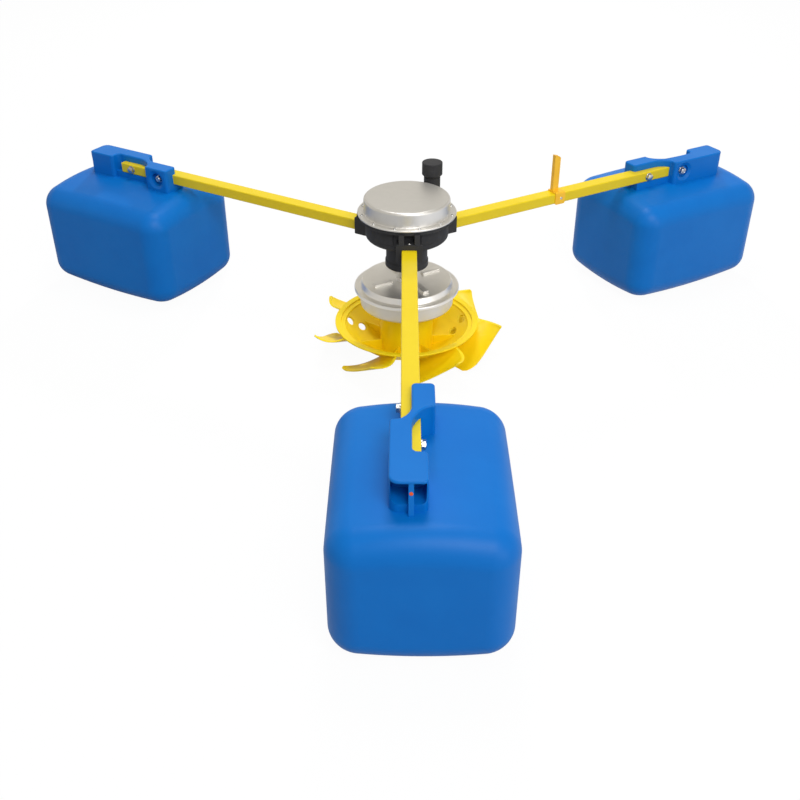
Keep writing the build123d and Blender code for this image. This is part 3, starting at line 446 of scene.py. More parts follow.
def finish(name, base, tone, worn, roughness, rough_spread=0.08, metallic=0.0, mottle=6.0,
           grain=(300.0, 60.0), bump=0.02, bump_depth=0.0005, edge=0.0015, edge_share=0.5,
           scratch_share=0.25, specular=0.5):
    """A material whose colour, roughness and bump change over the surface."""
    material = bpy.data.materials.new(name)
    material.use_nodes = True
    tree = material.node_tree
    shader = tree.nodes["Principled BSDF"]
    drift = place_group(tree, mottle_group, Scale=mottle)
    drift = step_between(tree, drift, 0.3, 0.7)
    edges = place_group(tree, edge_group, Radius=edge)
    scratches = place_group(tree, scratch_group)
    wear = arithmetic(tree, "MAXIMUM", arithmetic(tree, "MULTIPLY", edges, edge_share),
                      arithmetic(tree, "MULTIPLY", scratches, scratch_share))
    colour = mix_colours(tree, drift, screen_colour(*base), screen_colour(*tone))
    colour = mix_colours(tree, wear, colour, screen_colour(*worn))
    link(tree, colour, shader.inputs["Base Color"])
    rough = arithmetic(tree, "MULTIPLY_ADD", drift, rough_spread)
    rough.node.inputs[2].default_value = roughness - rough_spread / 2
    rough = arithmetic(tree, "ADD", rough, arithmetic(tree, "MULTIPLY", wear, WEAR_ROUGHNESS))
    link(tree, rough, shader.inputs["Roughness"])
    bumps = tree.nodes.new("ShaderNodeBump")
    bumps.inputs["Strength"].default_value = bump
    bumps.inputs["Distance"].default_value = bump_depth
    link(tree, place_group(tree, grain_group, Scale=grain[0], Peel=grain[1]), bumps.inputs["Height"])
    link(tree, bumps.outputs[0], shader.inputs["Normal"])
    shader.inputs["Metallic"].default_value = metallic
    shader.inputs["Specular IOR Level"].default_value = specular
    return material


# %% [markdown]
# ## The finishes of this machine
#
# - The floats are moulded in blue polyethylene: waxy, with a slightly wavy skin.
# - The hub and the cable inlet are black glass-filled nylon: dull, with a fine grain.
# - The arms are steel tube under a yellow powder coat, which looks like very fine orange
#   peel. The impeller is a smoother, warmer yellow plastic.
# - The lid and the motor's can are pressed metal with a satin finish. The motor's cover
#   and the collar above it are the same metal, painted brighter to stand in for light where
#   the hub shades them.
# - The small fasteners are zinc-plated steel, and the shaft and its bearings are turned.
# - The hook has a thin yellow-orange coat, and the plugs are orange plastic.
# - Seals, magnets, windings and the potted controller have plain finishes, because the
#   housings hide them.

# %% The finishes
float_blue = finish("float_blue", (0, 116, 203), (0, 109, 196), (40, 138, 216), 0.42,
                    mottle=3.0, grain=(420.0, 38.0), bump=0.25, bump_depth=0.0006, edge=0.003,
                    edge_share=0.25, scratch_share=0.12, specular=0.22)
hub_black = finish("hub_black", (58, 58, 60), (50, 50, 52), (92, 92, 94), 0.6,
                   mottle=14.0, grain=(900.0, 260.0), bump=0.3, bump_depth=0.0003, edge=0.0012,
                   specular=0.22)
arm_yellow = finish("arm_yellow", (236, 209, 6), (233, 204, 4), (252, 232, 90), 0.4,
                    mottle=7.0, grain=(620.0, 330.0), bump=0.25, bump_depth=0.0003, edge=0.0012,
                    edge_share=0.4)
impeller_yellow = finish("impeller_yellow", (255, 226, 8), (255, 221, 5), (255, 238, 100), 0.4,
                         mottle=8.0, grain=(500.0, 70.0), bump=0.15, bump_depth=0.0005,
                         edge_share=0.3, scratch_share=0.18)
SATIN = {"rough_spread": 0.06, "metallic": 1.0, "mottle": 10.0, "grain": (1500.0, 500.0), "bump": 0.12,
         "bump_depth": 0.0002, "edge_share": 0.35, "scratch_share": 0.3}
satin_metal = finish("satin_metal", (224, 222, 218), (218, 216, 212), (238, 236, 232), 0.46, **SATIN)
# The motor's metal is the lid's metal painted brighter: painted light against the hub's shade on the
# motor's cover and collar.
motor_metal_painted_light = finish("motor_metal_painted_light", (244, 242, 238), (240, 238, 234), (250, 249, 246), 0.4, **SATIN)
zinc_steel = finish("zinc_steel", (206, 206, 205), (188, 189, 190), (228, 228, 226), 0.26,
                    metallic=1.0, mottle=60.0, grain=(1800.0, 700.0), bump=0.1, bump_depth=0.0001,
                    edge=0.0005)
shaft_steel = finish("shaft_steel", (212, 210, 206), (198, 196, 192), (236, 234, 230), 0.24,
                     metallic=1.0, mottle=30.0, grain=(1600.0, 500.0), bump=0.08, bump_depth=0.0001)
stator_steel = finish("stator_steel", (120, 118, 114), (104, 100, 96), (150, 148, 144), 0.45,
                      metallic=0.9, mottle=25.0, grain=(1200.0, 400.0), bump=0.2, bump_depth=0.0002)
magnet_grey = finish("magnet_grey", (70, 72, 76), (58, 60, 64), (110, 112, 116), 0.4,
                     metallic=0.6, mottle=25.0, grain=(1200.0, 400.0), bump=0.2, bump_depth=0.0002)
seal_rubber = finish("seal_rubber", (32, 32, 33), (25, 25, 26), (58, 58, 60), 0.7,
                     mottle=30.0, grain=(1500.0, 500.0), bump=0.3, bump_depth=0.0002, specular=0.3)
potting_black = finish("potting_black", (28, 29, 32), (22, 22, 25), (50, 50, 54), 0.3,
                       mottle=18.0, grain=(400.0, 90.0), bump=0.2, bump_depth=0.0004)
plug_orange = finish("plug_orange", (240, 92, 22), (230, 84, 18), (250, 140, 80), 0.45,
                     mottle=60.0, grain=(1500.0, 500.0), bump=0.15, bump_depth=0.0002, edge=0.0006)
hook_orange = finish("hook_orange", (255, 200, 46), (255, 193, 38), (255, 218, 124), 0.4,
                     mottle=18.0, grain=(700.0, 300.0), bump=0.2, bump_depth=0.0003, edge=0.0008)
print("Finishes:", len([m for m in bpy.data.materials if m.name != "floor_paint"]))

# %% [markdown]
# ## Which part has which finish
#
# A table gives each CAD part its finish by name. A name that ends in an underscore stands
# for all the parts whose names start with it, such as the three floats.

# %% Give each CAD part its finish
PART_FINISH = {
    "float_": float_blue, "hub": hub_black, "inlet_neck": hub_black, "inlet_cap": hub_black,
    "arm_": arm_yellow, "impeller": impeller_yellow, "impeller_bolts": zinc_steel,
    "cover": satin_metal, "cover_gasket": seal_rubber, "cover_screws": zinc_steel,
    # The motor's cover and the collar get the metal with painted light against the hub's shade.
    "motor_cover": motor_metal_painted_light, "motor_can": satin_metal, "shaft": shaft_steel, "shaft_collar": motor_metal_painted_light,
    "shaft_nut": zinc_steel, "stator": stator_steel, "magnet_ring": magnet_grey,
    "bearing_": shaft_steel, "inlet_seal": seal_rubber, "controller": potting_black,
    "vent_plugs": plug_orange, "cable_hook": hook_orange, "hook_rivet": zinc_steel,
    "lock_screws": zinc_steel, "clamp_bolts": zinc_steel, "clamp_washers": zinc_steel,
    "clamp_nuts": zinc_steel,
}
for name, node in nodes.items():
    finish_name = name if name in PART_FINISH else name.split("_")[0] + "_"
    node.data.materials.clear()
    node.data.materials.append(PART_FINISH[finish_name])
print("Parts with a finish:", len(nodes))

# %% [markdown]
# ## Tools for the small fasteners
#
# The CAD fasteners are plain: a hexagon and a cylinder. Real ones have chamfers, recesses
# and rounded heads, and those small faces catch the light. Each kind is shaped once, in
# its own upright axes with its seat at height 0, and then copied to every place where the
# machine has one. The copies are one piece, which stands for the CAD node.

# %% Tools for the small fasteners
SMOOTH_ANGLE = math.radians(35)
TOUCHING = 1e-7
CONE_SLOPE = 30
CONE_CUTS = 24
CONE_SHARE = 0.47


def vertices_of(geometry):
    """The vertices among what an operator gave back."""
    return [item for item in geometry if isinstance(item, bmesh.types.BMVert)]


def edges_of(geometry):
    """The edges among what an operator gave back."""
    return [item for item in geometry if isinstance(item, bmesh.types.BMEdge)]


def spun(bm, profile, steps=32):
    """Turn corner points (radius, height), in mm, about the upright axis."""
    before = len(bm.verts)
    corners = [bm.verts.new((radius * MM, 0, height * MM)) for radius, height in profile]
    edges = [bm.edges.new(pair) for pair in zip(corners, corners[1:])]
    bmesh.ops.spin(bm, geom=corners + edges, axis=UP, cent=(0, 0, 0), angle=math.tau,
                   steps=steps, use_merge=True)
    bm.verts.ensure_lookup_table()
    made = bm.verts[before:]
    bmesh.ops.remove_doubles(bm, verts=made, dist=TOUCHING)


def cut_off(bm, place, direction):
    """Slice away what lies beyond a plane and close the cut."""
    everything = bm.verts[:] + bm.edges[:] + bm.faces[:]
    cut = bmesh.ops.bisect_plane(bm, geom=everything, plane_co=place, plane_no=direction,
                                 clear_outer=True)
    rim = edges_of(cut["geom_cut"])
    if rim:
        bmesh.ops.contextual_create(bm, geom=rim)


def corner_radius(flats):
    """The radius in metres of a hexagon's corners, by its width across flats in mm."""
    return flats / 2 * MM / math.cos(math.pi / 6)


def hexagon(bm, flats, height, ends=(1,)):
    """A hexagonal block with its corners cut to a cone at the top, or at both ends."""
    ring = bmesh.ops.create_circle(bm, cap_ends=True, segments=6, radius=corner_radius(flats))
    base = ring["verts"][0].link_faces[0]
    raised = bmesh.ops.extrude_face_region(bm, geom=[base])["geom"]
    bmesh.ops.translate(bm, verts=vertices_of(raised), vec=UP * height * MM)
    tilt = math.radians(CONE_SLOPE)
    for end in ends:
        level = height * MM if end > 0 else 0
        for cut in range(CONE_CUTS):
            around = math.tau * (cut + 0.5) / CONE_CUTS
            outward = Vector((math.cos(around), math.sin(around), 0))
            direction = outward * math.sin(tilt) + UP * end * math.cos(tilt)
            cut_off(bm, outward * flats * CONE_SHARE * MM + UP * level, direction)


def socket(bm, flats, depth):
    """Sink a hexagonal socket into the highest flat face."""
    top = max(bm.faces, key=lambda face: (round(face.calc_center_median().z, 7), face.calc_area()))
    height = top.calc_center_median().z
    rim = top.edges[:]
    bmesh.ops.delete(bm, geom=[top], context="FACES_ONLY")
    ring = bmesh.ops.create_circle(bm, cap_ends=False, segments=6, radius=corner_radius(flats))["verts"]
    bmesh.ops.translate(bm, verts=ring, vec=UP * height)
    mouth = list({edge for vert in ring for edge in vert.link_edges})
    bmesh.ops.bridge_loops(bm, edges=rim + mouth)
    walls = bmesh.ops.extrude_edge_only(bm, edges=mouth)["geom"]
    floor_verts = vertices_of(walls)
    floor_edges = [edge for edge in edges_of(walls) if all(vert in floor_verts for vert in edge.verts)]
    bmesh.ops.translate(bm, verts=floor_verts, vec=UP * -depth * MM)
    bmesh.ops.contextual_create(bm, geom=floor_edges)


def baked(bm):
    """A mesh from a bmesh, with its faces turned outwards. The bmesh is freed."""
    bmesh.ops.recalc_face_normals(bm, faces=bm.faces[:])
    mesh = bpy.data.meshes.new("pattern")
    bm.to_mesh(mesh)
    bm.free()
    return mesh


def joined(name, patterns):
    """One mesh from pairs of a mesh and a transform."""
    bm = bmesh.new()
    for pattern, place in patterns:
        before = len(bm.verts)
        bm.from_mesh(pattern)
        bm.verts.ensure_lookup_table()
        bmesh.ops.transform(bm, matrix=place, verts=bm.verts[before:])
    mesh = bpy.data.meshes.new(name)
    bm.to_mesh(mesh)
    bm.free()
    return mesh


def new_piece(name, mesh, material):
    """An object with a smooth mesh whose sharp edges stay sharp."""
    mesh.shade_smooth()
    mesh.set_sharp_from_angle(angle=SMOOTH_ANGLE)
    mesh.materials.append(material)
    piece = bpy.data.objects.new(name, mesh)
    bpy.context.scene.collection.objects.link(piece)
    print(name, "faces:", len(mesh.polygons))
    return piece


def copies(name, bm, places, body, node, material):
    """One piece made of copies of a shape, standing for a CAD node."""
    pattern = baked(bm)
    piece = new_piece(name, joined(name, [(pattern, place) for place in places]), material)
    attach(piece, body)
    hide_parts(node)
    bpy.data.meshes.remove(pattern)


# %% [markdown]
# ## Bolts, washers and nuts of the clamps
#
# Two M12 bolts cross each arm. One has its head on the right, the other on the left, and
# each nut sits at the bottom of a well in the blue moulding. A bolt's thread shows only at
# its end in the nut, so only that stretch has ridges. No two bolts are left at the same
# turn, so each head gets its own spin.

# %% Clamp bolts
BOLT_REACH = {-1: 855, 1: 980}
ARM_HALF = 20
LAND = 10
WASHER = 2.5
FLATS = 18
HEAD = 7.5
NUT = 8.6
PITCH = 1.75
SHANK = 6
FIRST_SPIN = 7
NEXT_SPIN = 11
STAND_OUT = 0.4
THREAD = 24
THREAD_DEPTH = 0.7
TIP_CHAMFER = (1.2, 0.8)

washer_seats = []
bolt_seats = []
nut_seats = []
land = ARM_HALF + LAND
for turn in ARM_TURNS.values():
    out, left = directions_at(turn)
    for side, reach in BOLT_REACH.items():
        spin = math.radians(FIRST_SPIN + NEXT_SPIN * len(bolt_seats))
        head_place = arm_place(turn, reach, side * (ARM_HALF + WASHER), 0)
        nut_place = arm_place(turn, reach, -side * (land + WASHER), 0)
        bolt_seats.append(turned_to(left * side, head_place, spin))
        nut_seats.append(turned_to(left * -side, nut_place, spin))
        washer_seats.append(turned_to(left * side, arm_place(turn, reach, side * ARM_HALF, 0)))
        washer_seats.append(turned_to(left * -side, arm_place(turn, reach, -side * land, 0)))

tip = -(2 * ARM_HALF + LAND + 2 * WASHER + NUT + STAND_OUT)
thread = [(0, tip), (SHANK - TIP_CHAMFER[0], tip)]
ridge = tip + TIP_CHAMFER[1]
while ridge < tip + THREAD:
    thread += [(SHANK - THREAD_DEPTH, ridge), (SHANK, ridge + PITCH / 2)]
    ridge += PITCH
bolt = bmesh.new()
hexagon(bolt, FLATS, HEAD)
spun(bolt, thread + [(SHANK, 0), (0, 0)])
copies("clamp_bolt_set", bolt, bolt_seats, "frame", "clamp_bolts", zinc_steel)

# %% Clamp washers
WASHER_OUTER = 12
WASHER_INNER = 6.5
WASHER_CHAMFER = 0.6
washer = bmesh.new()
spun(washer, [(WASHER_INNER, 0), (WASHER_OUTER, 0), (WASHER_OUTER, WASHER - WASHER_CHAMFER),
              (WASHER_OUTER - WASHER_CHAMFER, WASHER), (WASHER_INNER, WASHER), (WASHER_INNER, 0)], steps=48)
copies("clamp_washer_set", washer, washer_seats, "frame", "clamp_washers", zinc_steel)

# %% Clamp nuts
NUT_CHAMFER = 0.3
nut = bmesh.new()
hexagon(nut, FLATS, NUT, ends=(1, -1))
caps = sorted(nut.faces, key=lambda face: face.calc_center_median().z)
caps = [caps[0], caps[-1]]
bmesh.ops.inset_individual(nut, faces=caps, thickness=(FLATS * CONE_SHARE - SHANK) * MM)
bmesh.ops.inset_individual(nut, faces=caps, thickness=NUT_CHAMFER * MM, depth=-NUT_CHAMFER * MM)
rims = [edge for face in caps for edge in face.edges]
bmesh.ops.delete(nut, geom=caps, context="FACES_ONLY")
bmesh.ops.bridge_loops(nut, edges=rims)
copies("clamp_nut_set", nut, nut_seats, "frame", "clamp_nuts", zinc_steel)

# %% [markdown]
# ## Screws of the lid, the sockets and the impeller
#
# The lid is held by twelve small button heads, each with a hexagonal socket. The three
# lock screws on top of the arm sockets are the same shape, only bigger. Under the motor,
# out of sight in the photograph, six cap screws hold the impeller. A screw is an outline
# that is turned about its own axis, and its socket, which has a width across flats and a
# depth, is sunk into its head afterwards.

# %% Screws of the lid
LID_SCREWS = 12
LID_CIRCLE = 125.5
LID_HEAD = 2.8
LID_SPIN = 1.3
LID_KEY = (2.5, 1.5)
LID_SCREW = [(0, -3), (2, -3), (2, 0), (4.2, 0), (4.2, 0.5), (3.9, 1.5), (3.2, 2.3), (2.2, 2.75), (0, 2.75)]


def ring_of_seats(count, first, circle, height, direction, spin):
    """Seats around the axis, from a first turn in degrees, each spun further than the last."""
    seats = []
    for index in range(count):
        a = math.radians(first + index * 360 / count)
        place = Vector((circle * math.cos(a), circle * math.sin(a), height)) * MM
        seats.append(turned_to(direction, place, spin * index))
    return seats


flange_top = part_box("cover_screws")[1][2] / MM - LID_HEAD
lid_seats = ring_of_seats(LID_SCREWS, 180 / LID_SCREWS, LID_CIRCLE, flange_top, UP, LID_SPIN)
button = bmesh.new()
spun(button, LID_SCREW)
socket(button, *LID_KEY)
copies("lid_screw_set", button, lid_seats, "frame", "cover_screws", zinc_steel)

# %% Lock screws of the arm sockets
LOCK_REACH = 134
LOCK_HEAD = 3
LOCK_SCREW = [(0, -14), (3, -14), (3, 0), (4.5, 0), (4.5, 0.6), (4.1, 1.7), (3.4, 2.5), (2.6, 2.95),
              (0, 2.95)]
LOCK_SPIN = 0.4
LOCK_KEY = (3, 1.8)
socket_top = (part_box("lock_screws")[1][2] - ARM_HEIGHT) / MM - LOCK_HEAD
lock_seats = [turned_to(UP, arm_place(turn, LOCK_REACH, 0, socket_top), LOCK_SPIN * turn)
              for turn in ARM_TURNS.values()]
button = bmesh.new()
spun(button, LOCK_SCREW)
socket(button, *LOCK_KEY)
copies("lock_screw_set", button, lock_seats, "frame", "lock_screws", zinc_steel)

# %% Cap screws of the impeller
CAP_SCREWS = 6
CAP_CIRCLE = 53
CAP_HEAD = 8
CAP_SPIN = 0.7
CAP_KEY = (6, 4)
CAP_SCREW = [(0, -20), (4, -20), (4, 0), (6.5, 0), (6.5, CAP_HEAD - 0.8), (5.7, CAP_HEAD - 0.05),
             (0, CAP_HEAD - 0.05)]
plate_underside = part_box("impeller_bolts")[0][2] / MM + CAP_HEAD
cap_seats = ring_of_seats(CAP_SCREWS, 0, CAP_CIRCLE, plate_underside, -UP, CAP_SPIN)
cap_screw = bmesh.new()
spun(cap_screw, CAP_SCREW)
socket(cap_screw, *CAP_KEY)
copies("impeller_screw_set", cap_screw, cap_seats, "rotor", "impeller_bolts", zinc_steel)

# %% [markdown]
# ## The plugs in the fins and the rivet of the hook
#
# Each float is sealed by a small orange plug in the sloping front of its fin, and the
# orange hook is held on the right arm by one blind rivet. Both have a low round head.

# %% Vent plugs
FIN_HEAD = 1139
FIN_FOOT = 1153
FIN_TOP = 30
FIN_BOTTOM = -33
PLUG_HEIGHT = 10
PLUG = [(0, -12), (3.8, -12), (3.8, 0.1), (3.6, 0.5), (2.9, 0.8), (1.6, 0.95), (0, 0.98)]
fin_run = (FIN_FOOT - FIN_HEAD) / (FIN_TOP - FIN_BOTTOM)
plug_reach = FIN_HEAD + fin_run * (FIN_TOP - PLUG_HEIGHT)
plug_seats = []
for turn in ARM_TURNS.values():
    out, left = directions_at(turn)
    face_out = (out + UP * fin_run).normalized()
    plug_seats.append(turned_to(face_out, arm_place(turn, plug_reach, 0, PLUG_HEIGHT)))
plug = bmesh.new()
spun(plug, PLUG, steps=24)
copies("vent_plug_set", plug, plug_seats, "frame", "vent_plugs", plug_orange)

# %% Hook rivet
RIVET_REACH = 517
HOOK_SHEET = 2.5
RIVET = [(0, -7), (2.4, -7), (2.4, 0), (4.2, 0), (4.1, 0.4), (3.4, 1.0), (2.2, 1.4), (1.2, 1.48),
         (1.1, 0.6), (0, 0.6)]
out, left = directions_at(ARM_TURNS["right"])
rivet_seat = turned_to(-left, arm_place(ARM_TURNS["right"], RIVET_REACH, -ARM_HALF - HOOK_SHEET, 0))
rivet = bmesh.new()
spun(rivet, RIVET, steps=24)
copies("hook_rivet_head", rivet, [rivet_seat], "frame", "hook_rivet", zinc_steel)

# %% [markdown]
# ## The impeller
#
# The impeller is the machine's hardest shape: a dished bowl on a hollow column, with seven
# blades outside that are swept back and curved like the staves of a barrel. The CAD blades
# have the right edges but flat strips between them. Here the wheel is made again, so that
# the blades get their curve and their rounded corners. Heights are measured from the arms,
# so those of the impeller are below zero.
#
# Three small tools come first. One turns an outline with rounded corners about the axis,
# for the bowl. One pushes a flat outline along a vector, for webs, ribs and the hook. The
# last rounds the edges of what was pushed.

# %% Outlines that are turned or pushed
def turned_outline(corners, steps):
    """Spin a closed outline of (radius, height, rounding) corners, in mm, about the upright axis."""
    bm = bmesh.new()
    points = [bm.verts.new((radius * MM, 0, ARM_HEIGHT + height * MM)) for radius, height, _ in corners]
    bm.faces.new(points)
    for point, (_, _, rounding) in zip(points, corners):
        if rounding:
            bmesh.ops.bevel(bm, geom=[point], offset=rounding * MM, offset_type="OFFSET", segments=5,
                            profile=0.5, affect="VERTICES", material=-1)
    bmesh.ops.delete(bm, geom=bm.faces[:], context="FACES_ONLY")
    bmesh.ops.spin(bm, geom=bm.verts[:] + bm.edges[:], axis=UP, cent=(0, 0, 0), angle=math.tau,
                   steps=steps, use_merge=True)
    bmesh.ops.remove_doubles(bm, verts=bm.verts[:], dist=TOUCHING)
    return baked(bm)


def pushed_outline(bm, corners, push):
    """A flat face through places, pushed along a vector to a solid. Gives the solid's edges."""
    before = len(bm.edges)
    face = bm.faces.new([bm.verts.new(corner) for corner in corners])
    moved = bmesh.ops.extrude_face_region(bm, geom=[face])["geom"]
    bmesh.ops.translate(bm, verts=vertices_of(moved), vec=push)
    bm.edges.ensure_lookup_table()
    return bm.edges[before:]


def round_edges(bm, edges, radius, segments):
    """Bevel edges by a width in mm."""
    bmesh.ops.bevel(bm, geom=edges, offset=radius * MM, offset_type="OFFSET", segments=segments,
                    profile=0.5, affect="EDGES", material=-1)


# %% [markdown]
# ### The bowl
#
# The bowl's outline has two steps inside its rim and falls to the column. Between each
# web and the next, two oval holes let water through. They are cut by a Boolean, because an
# outline that is turned can't have them, and the result is kept as a plain mesh. Drills
# that stand square to the wall and are stretched sideways give the holes their oval form.

# %% Bowl with its holes
COLUMN_RADIUS = 76
WALL = 5
BOWL = [(COLUMN_RADIUS - WALL, -359, 0), (112, -343, 9), (145.5, -322.5, 9), (185, -285, 2),
        (206.3, -275, 1.5), (206.3, -271, 1.2), (190, -273, 1.2), (190, -278.5, 2), (177, -279.5, 1.5),
        (177, -284, 3), (142, -318, 9), (110, -338, 9), (COLUMN_RADIUS, -352, 0),
        (COLUMN_RADIUS - WALL, -352, 0)]
BLADES = 7
FIRST_BLADE = -7.2
FIRST_WEB = FIRST_BLADE + 3.2
HOLES = [(166, 19, -294), (138, 11, -321)]
HOLE_RADIUS = 12.5
HOLE_STRETCH = 1.4
DRILL_LEAN = 0.8
DRILL_LENGTH = 30

bowl = bpy.data.objects.new("bowl_blank", turned_outline(BOWL, 120))
drills = bmesh.new()
for index in range(BLADES):
    for reach, turn, height in HOLES:
        a = math.radians(FIRST_WEB + turn + index * 360 / BLADES)
        outward = Vector((math.cos(a), math.sin(a), 0))
        middle = outward * reach * MM + UP * (ARM_HEIGHT + height * MM)
        seat = turned_to((UP - outward * DRILL_LEAN).normalized(), middle)
        bmesh.ops.create_cone(drills, cap_ends=True, segments=32, radius1=HOLE_RADIUS * MM,
                              radius2=HOLE_RADIUS * MM, depth=DRILL_LENGTH * MM,
                              matrix=seat @ Matrix.Diagonal((HOLE_STRETCH, 1, 1, 1)))
drill = bpy.data.objects.new("bowl_drill", baked(drills))
for item in (bowl, drill):
    bpy.context.scene.collection.objects.link(item)
cut = bowl.modifiers.new("holes", "BOOLEAN")
cut.operation = "DIFFERENCE"
cut.solver = "EXACT"
cut.object = drill
bowl_mesh = bpy.data.meshes.new_from_object(bowl.evaluated_get(bpy.context.evaluated_depsgraph_get()))
for item in (bowl, drill):
    bpy.data.objects.remove(item)
print("Bowl faces with its holes:", len(bowl_mesh.polygons))

# %% [markdown]
# ### The blades
#
# A blade's outer edge runs from a tip at the rim to a heel below the bowl, on a curve that
# is drawn towards a bow. Tip, bow and heel are each a distance from the axis, a
# turn and a height. The inner edge follows the middle of the bowl's wall. A flat grid is
# laid on the surface between the two edges, row by row, with an arch across it for the
# camber. Extruding the grid before it is laid gives the blade its second side.

# %% Blades
TIP = (277.5, 0, -275)
BOW = (241, -7.6, -315.5)
HEEL = (235, -35, -362)
ROOT_REACH = 190
ROOT_TURN = 13
CAMBER = 17
CAMBER_LOSS = 0.25
SAG = 8
HEEL_LIFT = 7
HEEL_LIFT_FROM = 0.55
HEEL_LIFT_POWER = 8
TIP_ROUNDING = (0.06, 4)
HEEL_ROUNDING = (0.22, 18)
BLADE_THICKNESS = 8.5
RIM_ANGLE = 60
WALL_MIDDLE = [(198, -274), (181, -284.5), (144, -320.3), (111, -340.5), (73.5, -357), (73.5, -363)]
ROWS = 26
COLUMNS = 14


def between(share, start, bow, end):
    """A value on a quadratic curve from a start to an end, drawn towards a bow value."""
    return (1 - share) ** 2 * start + 2 * share * (1 - share) * bow + share ** 2 * end


def wall_reach(height):
    """The radius of the middle of the bowl's wall at a height."""
    for (high_reach, high), (low_reach, low) in zip(WALL_MIDDLE, WALL_MIDDLE[1:]):
        if height >= low:
            return low_reach + (high_reach - low_reach) * (height - low) / (high - low)
    return WALL_MIDDLE[-1][0]


def rounding(share):
    """How far the outer edge draws back near the tip and near the heel, in mm."""
    for near, (length, radius) in ((share, TIP_ROUNDING), (1 - share, HEEL_ROUNDING)):
        if near < length:
            return radius * (1 - math.sqrt(1 - (1 - near / length) ** 2))
    return 0


def on_blade(chord, share, side):
    """A point of the blade: chord 0 at the bowl to 1 at the edge, share 0 at the tip to 1 at the heel."""
    reach, turn, height = (between(share, *values) for values in zip(TIP, BOW, HEEL))
    fall = (TIP[2] - height) / (TIP[2] - HEEL[2])
    inner = ROOT_REACH + (COLUMN_RADIUS - ROOT_REACH) * fall
    lead = ROOT_TURN / (TIP[0] - ROOT_REACH) * (1 - fall) * (reach - inner)
    a, b = math.radians(FIRST_BLADE + turn), math.radians(FIRST_BLADE + turn + lead)
    edge = Vector((math.cos(a), math.sin(a))) * (reach - rounding(share))
    root = Vector((math.cos(b), math.sin(b))) * inner
    inside = root - (edge - root) * 0.5
    root = intersect_line_sphere_2d(inside, edge, Vector((0, 0)), wall_reach(height), False)[0]
    across = (edge - root).normalized().orthogonal()
    arch = 4 * chord * (1 - chord)
    camber = CAMBER * arch * (1 - CAMBER_LOSS * share)
    flat = root.lerp(edge, chord) + across * (camber + side * BLADE_THICKNESS / 2)
    outermost = max(0, chord - HEEL_LIFT_FROM) / (1 - HEEL_LIFT_FROM)
    heel_lift = HEEL_LIFT * share ** HEEL_LIFT_POWER * outermost ** 2
    rise = height + heel_lift - SAG * arch * (1 - share) ** 2
    return Vector((flat.x * MM, flat.y * MM, ARM_HEIGHT + rise * MM))


blade = bmesh.new()
bmesh.ops.create_grid(blade, x_segments=COLUMNS, y_segments=ROWS, size=0.5)
lay = {vert: (vert.co.x + 0.5, 0.5 - vert.co.y, -1) for vert in blade.verts}
second_side = vertices_of(bmesh.ops.extrude_face_region(blade, geom=blade.faces[:])["geom"])
lay.update({vert: (vert.co.x + 0.5, 0.5 - vert.co.y, 1) for vert in second_side})
for vert, at in lay.items():
    vert.co = on_blade(*at)
blade.normal_update()
rims = [edge for edge in blade.edges if edge.calc_face_angle(0) > math.radians(RIM_ANGLE)]
round_edges(blade, rims, 1.2, 2)
blade_mesh = baked(blade)
print("Blade faces:", len(blade_mesh.polygons))

# %% [markdown]
# ### Webs, column and the whole wheel
#
# Seven thin webs stand inside the bowl, each a flat outline pushed to its thickness. The
# column is an upturned cup, turned about the axis. One blade and one web are copied around
# the axis, and everything becomes one mesh, which stands for the CAD impeller.

# %% Webs, column and the whole wheel
WEB = [(73.5, -322), (146, -316), (146, -320.5), (110, -340.5), (73.5, -354.5)]
WEB_THICKNESS = 4
COLUMN_TOP = -214
COLUMN_FOOT = -362
COLUMN_ROOF = 8

web = bmesh.new()
web_side = [(reach * MM, WEB_THICKNESS / 2 * MM, ARM_HEIGHT + height * MM) for reach, height in WEB]
round_edges(web, pushed_outline(web, web_side, (0, -WEB_THICKNESS * MM, 0)), 0.6, 2)
web_mesh = baked(web)

column = bmesh.new()
inside = COLUMN_RADIUS - WALL
under_roof = COLUMN_TOP - COLUMN_ROOF
spun(column, [(0, COLUMN_TOP), (COLUMN_RADIUS, COLUMN_TOP), (COLUMN_RADIUS, COLUMN_FOOT),
              (inside, COLUMN_FOOT), (inside, under_roof), (0, under_roof)], steps=96)
bmesh.ops.translate(column, verts=column.verts[:], vec=UP * ARM_HEIGHT)
column_mesh = baked(column)

wheel_parts = [(bowl_mesh, Matrix.Identity(4)), (column_mesh, Matrix.Identity(4))]
for index in range(BLADES):
    step = index * math.tau / BLADES
    wheel_parts.append((blade_mesh, Matrix.Rotation(step, 4, "Z")))
    wheel_parts.append((web_mesh, Matrix.Rotation(math.radians(FIRST_WEB) + step, 4, "Z")))
impeller_wheel = new_piece("impeller_wheel", joined("impeller_wheel", wheel_parts), impeller_yellow)
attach(impeller_wheel, "rotor")
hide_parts("impeller")

# %% [markdown]
# ## Ribs of the motor
#
# Four short bars stand on the motor's cover. They are drawn 2 mm taller than in the CAD,
# so that their sides catch the light as they do in the photo. Each is a rectangle that
# starts a little below the cover's face, is pushed up and gets its edges rounded.

# %% Motor ribs
MOTOR_TOP = -139
RIBS = 4
FIRST_RIB = 30
RIB_REACH = (50.5, 105.5)
RIB_HALF_WIDTH = 8.2
RIB_HEIGHT = 7
RIB_SINK = 1
RIB_ROUNDING = 1

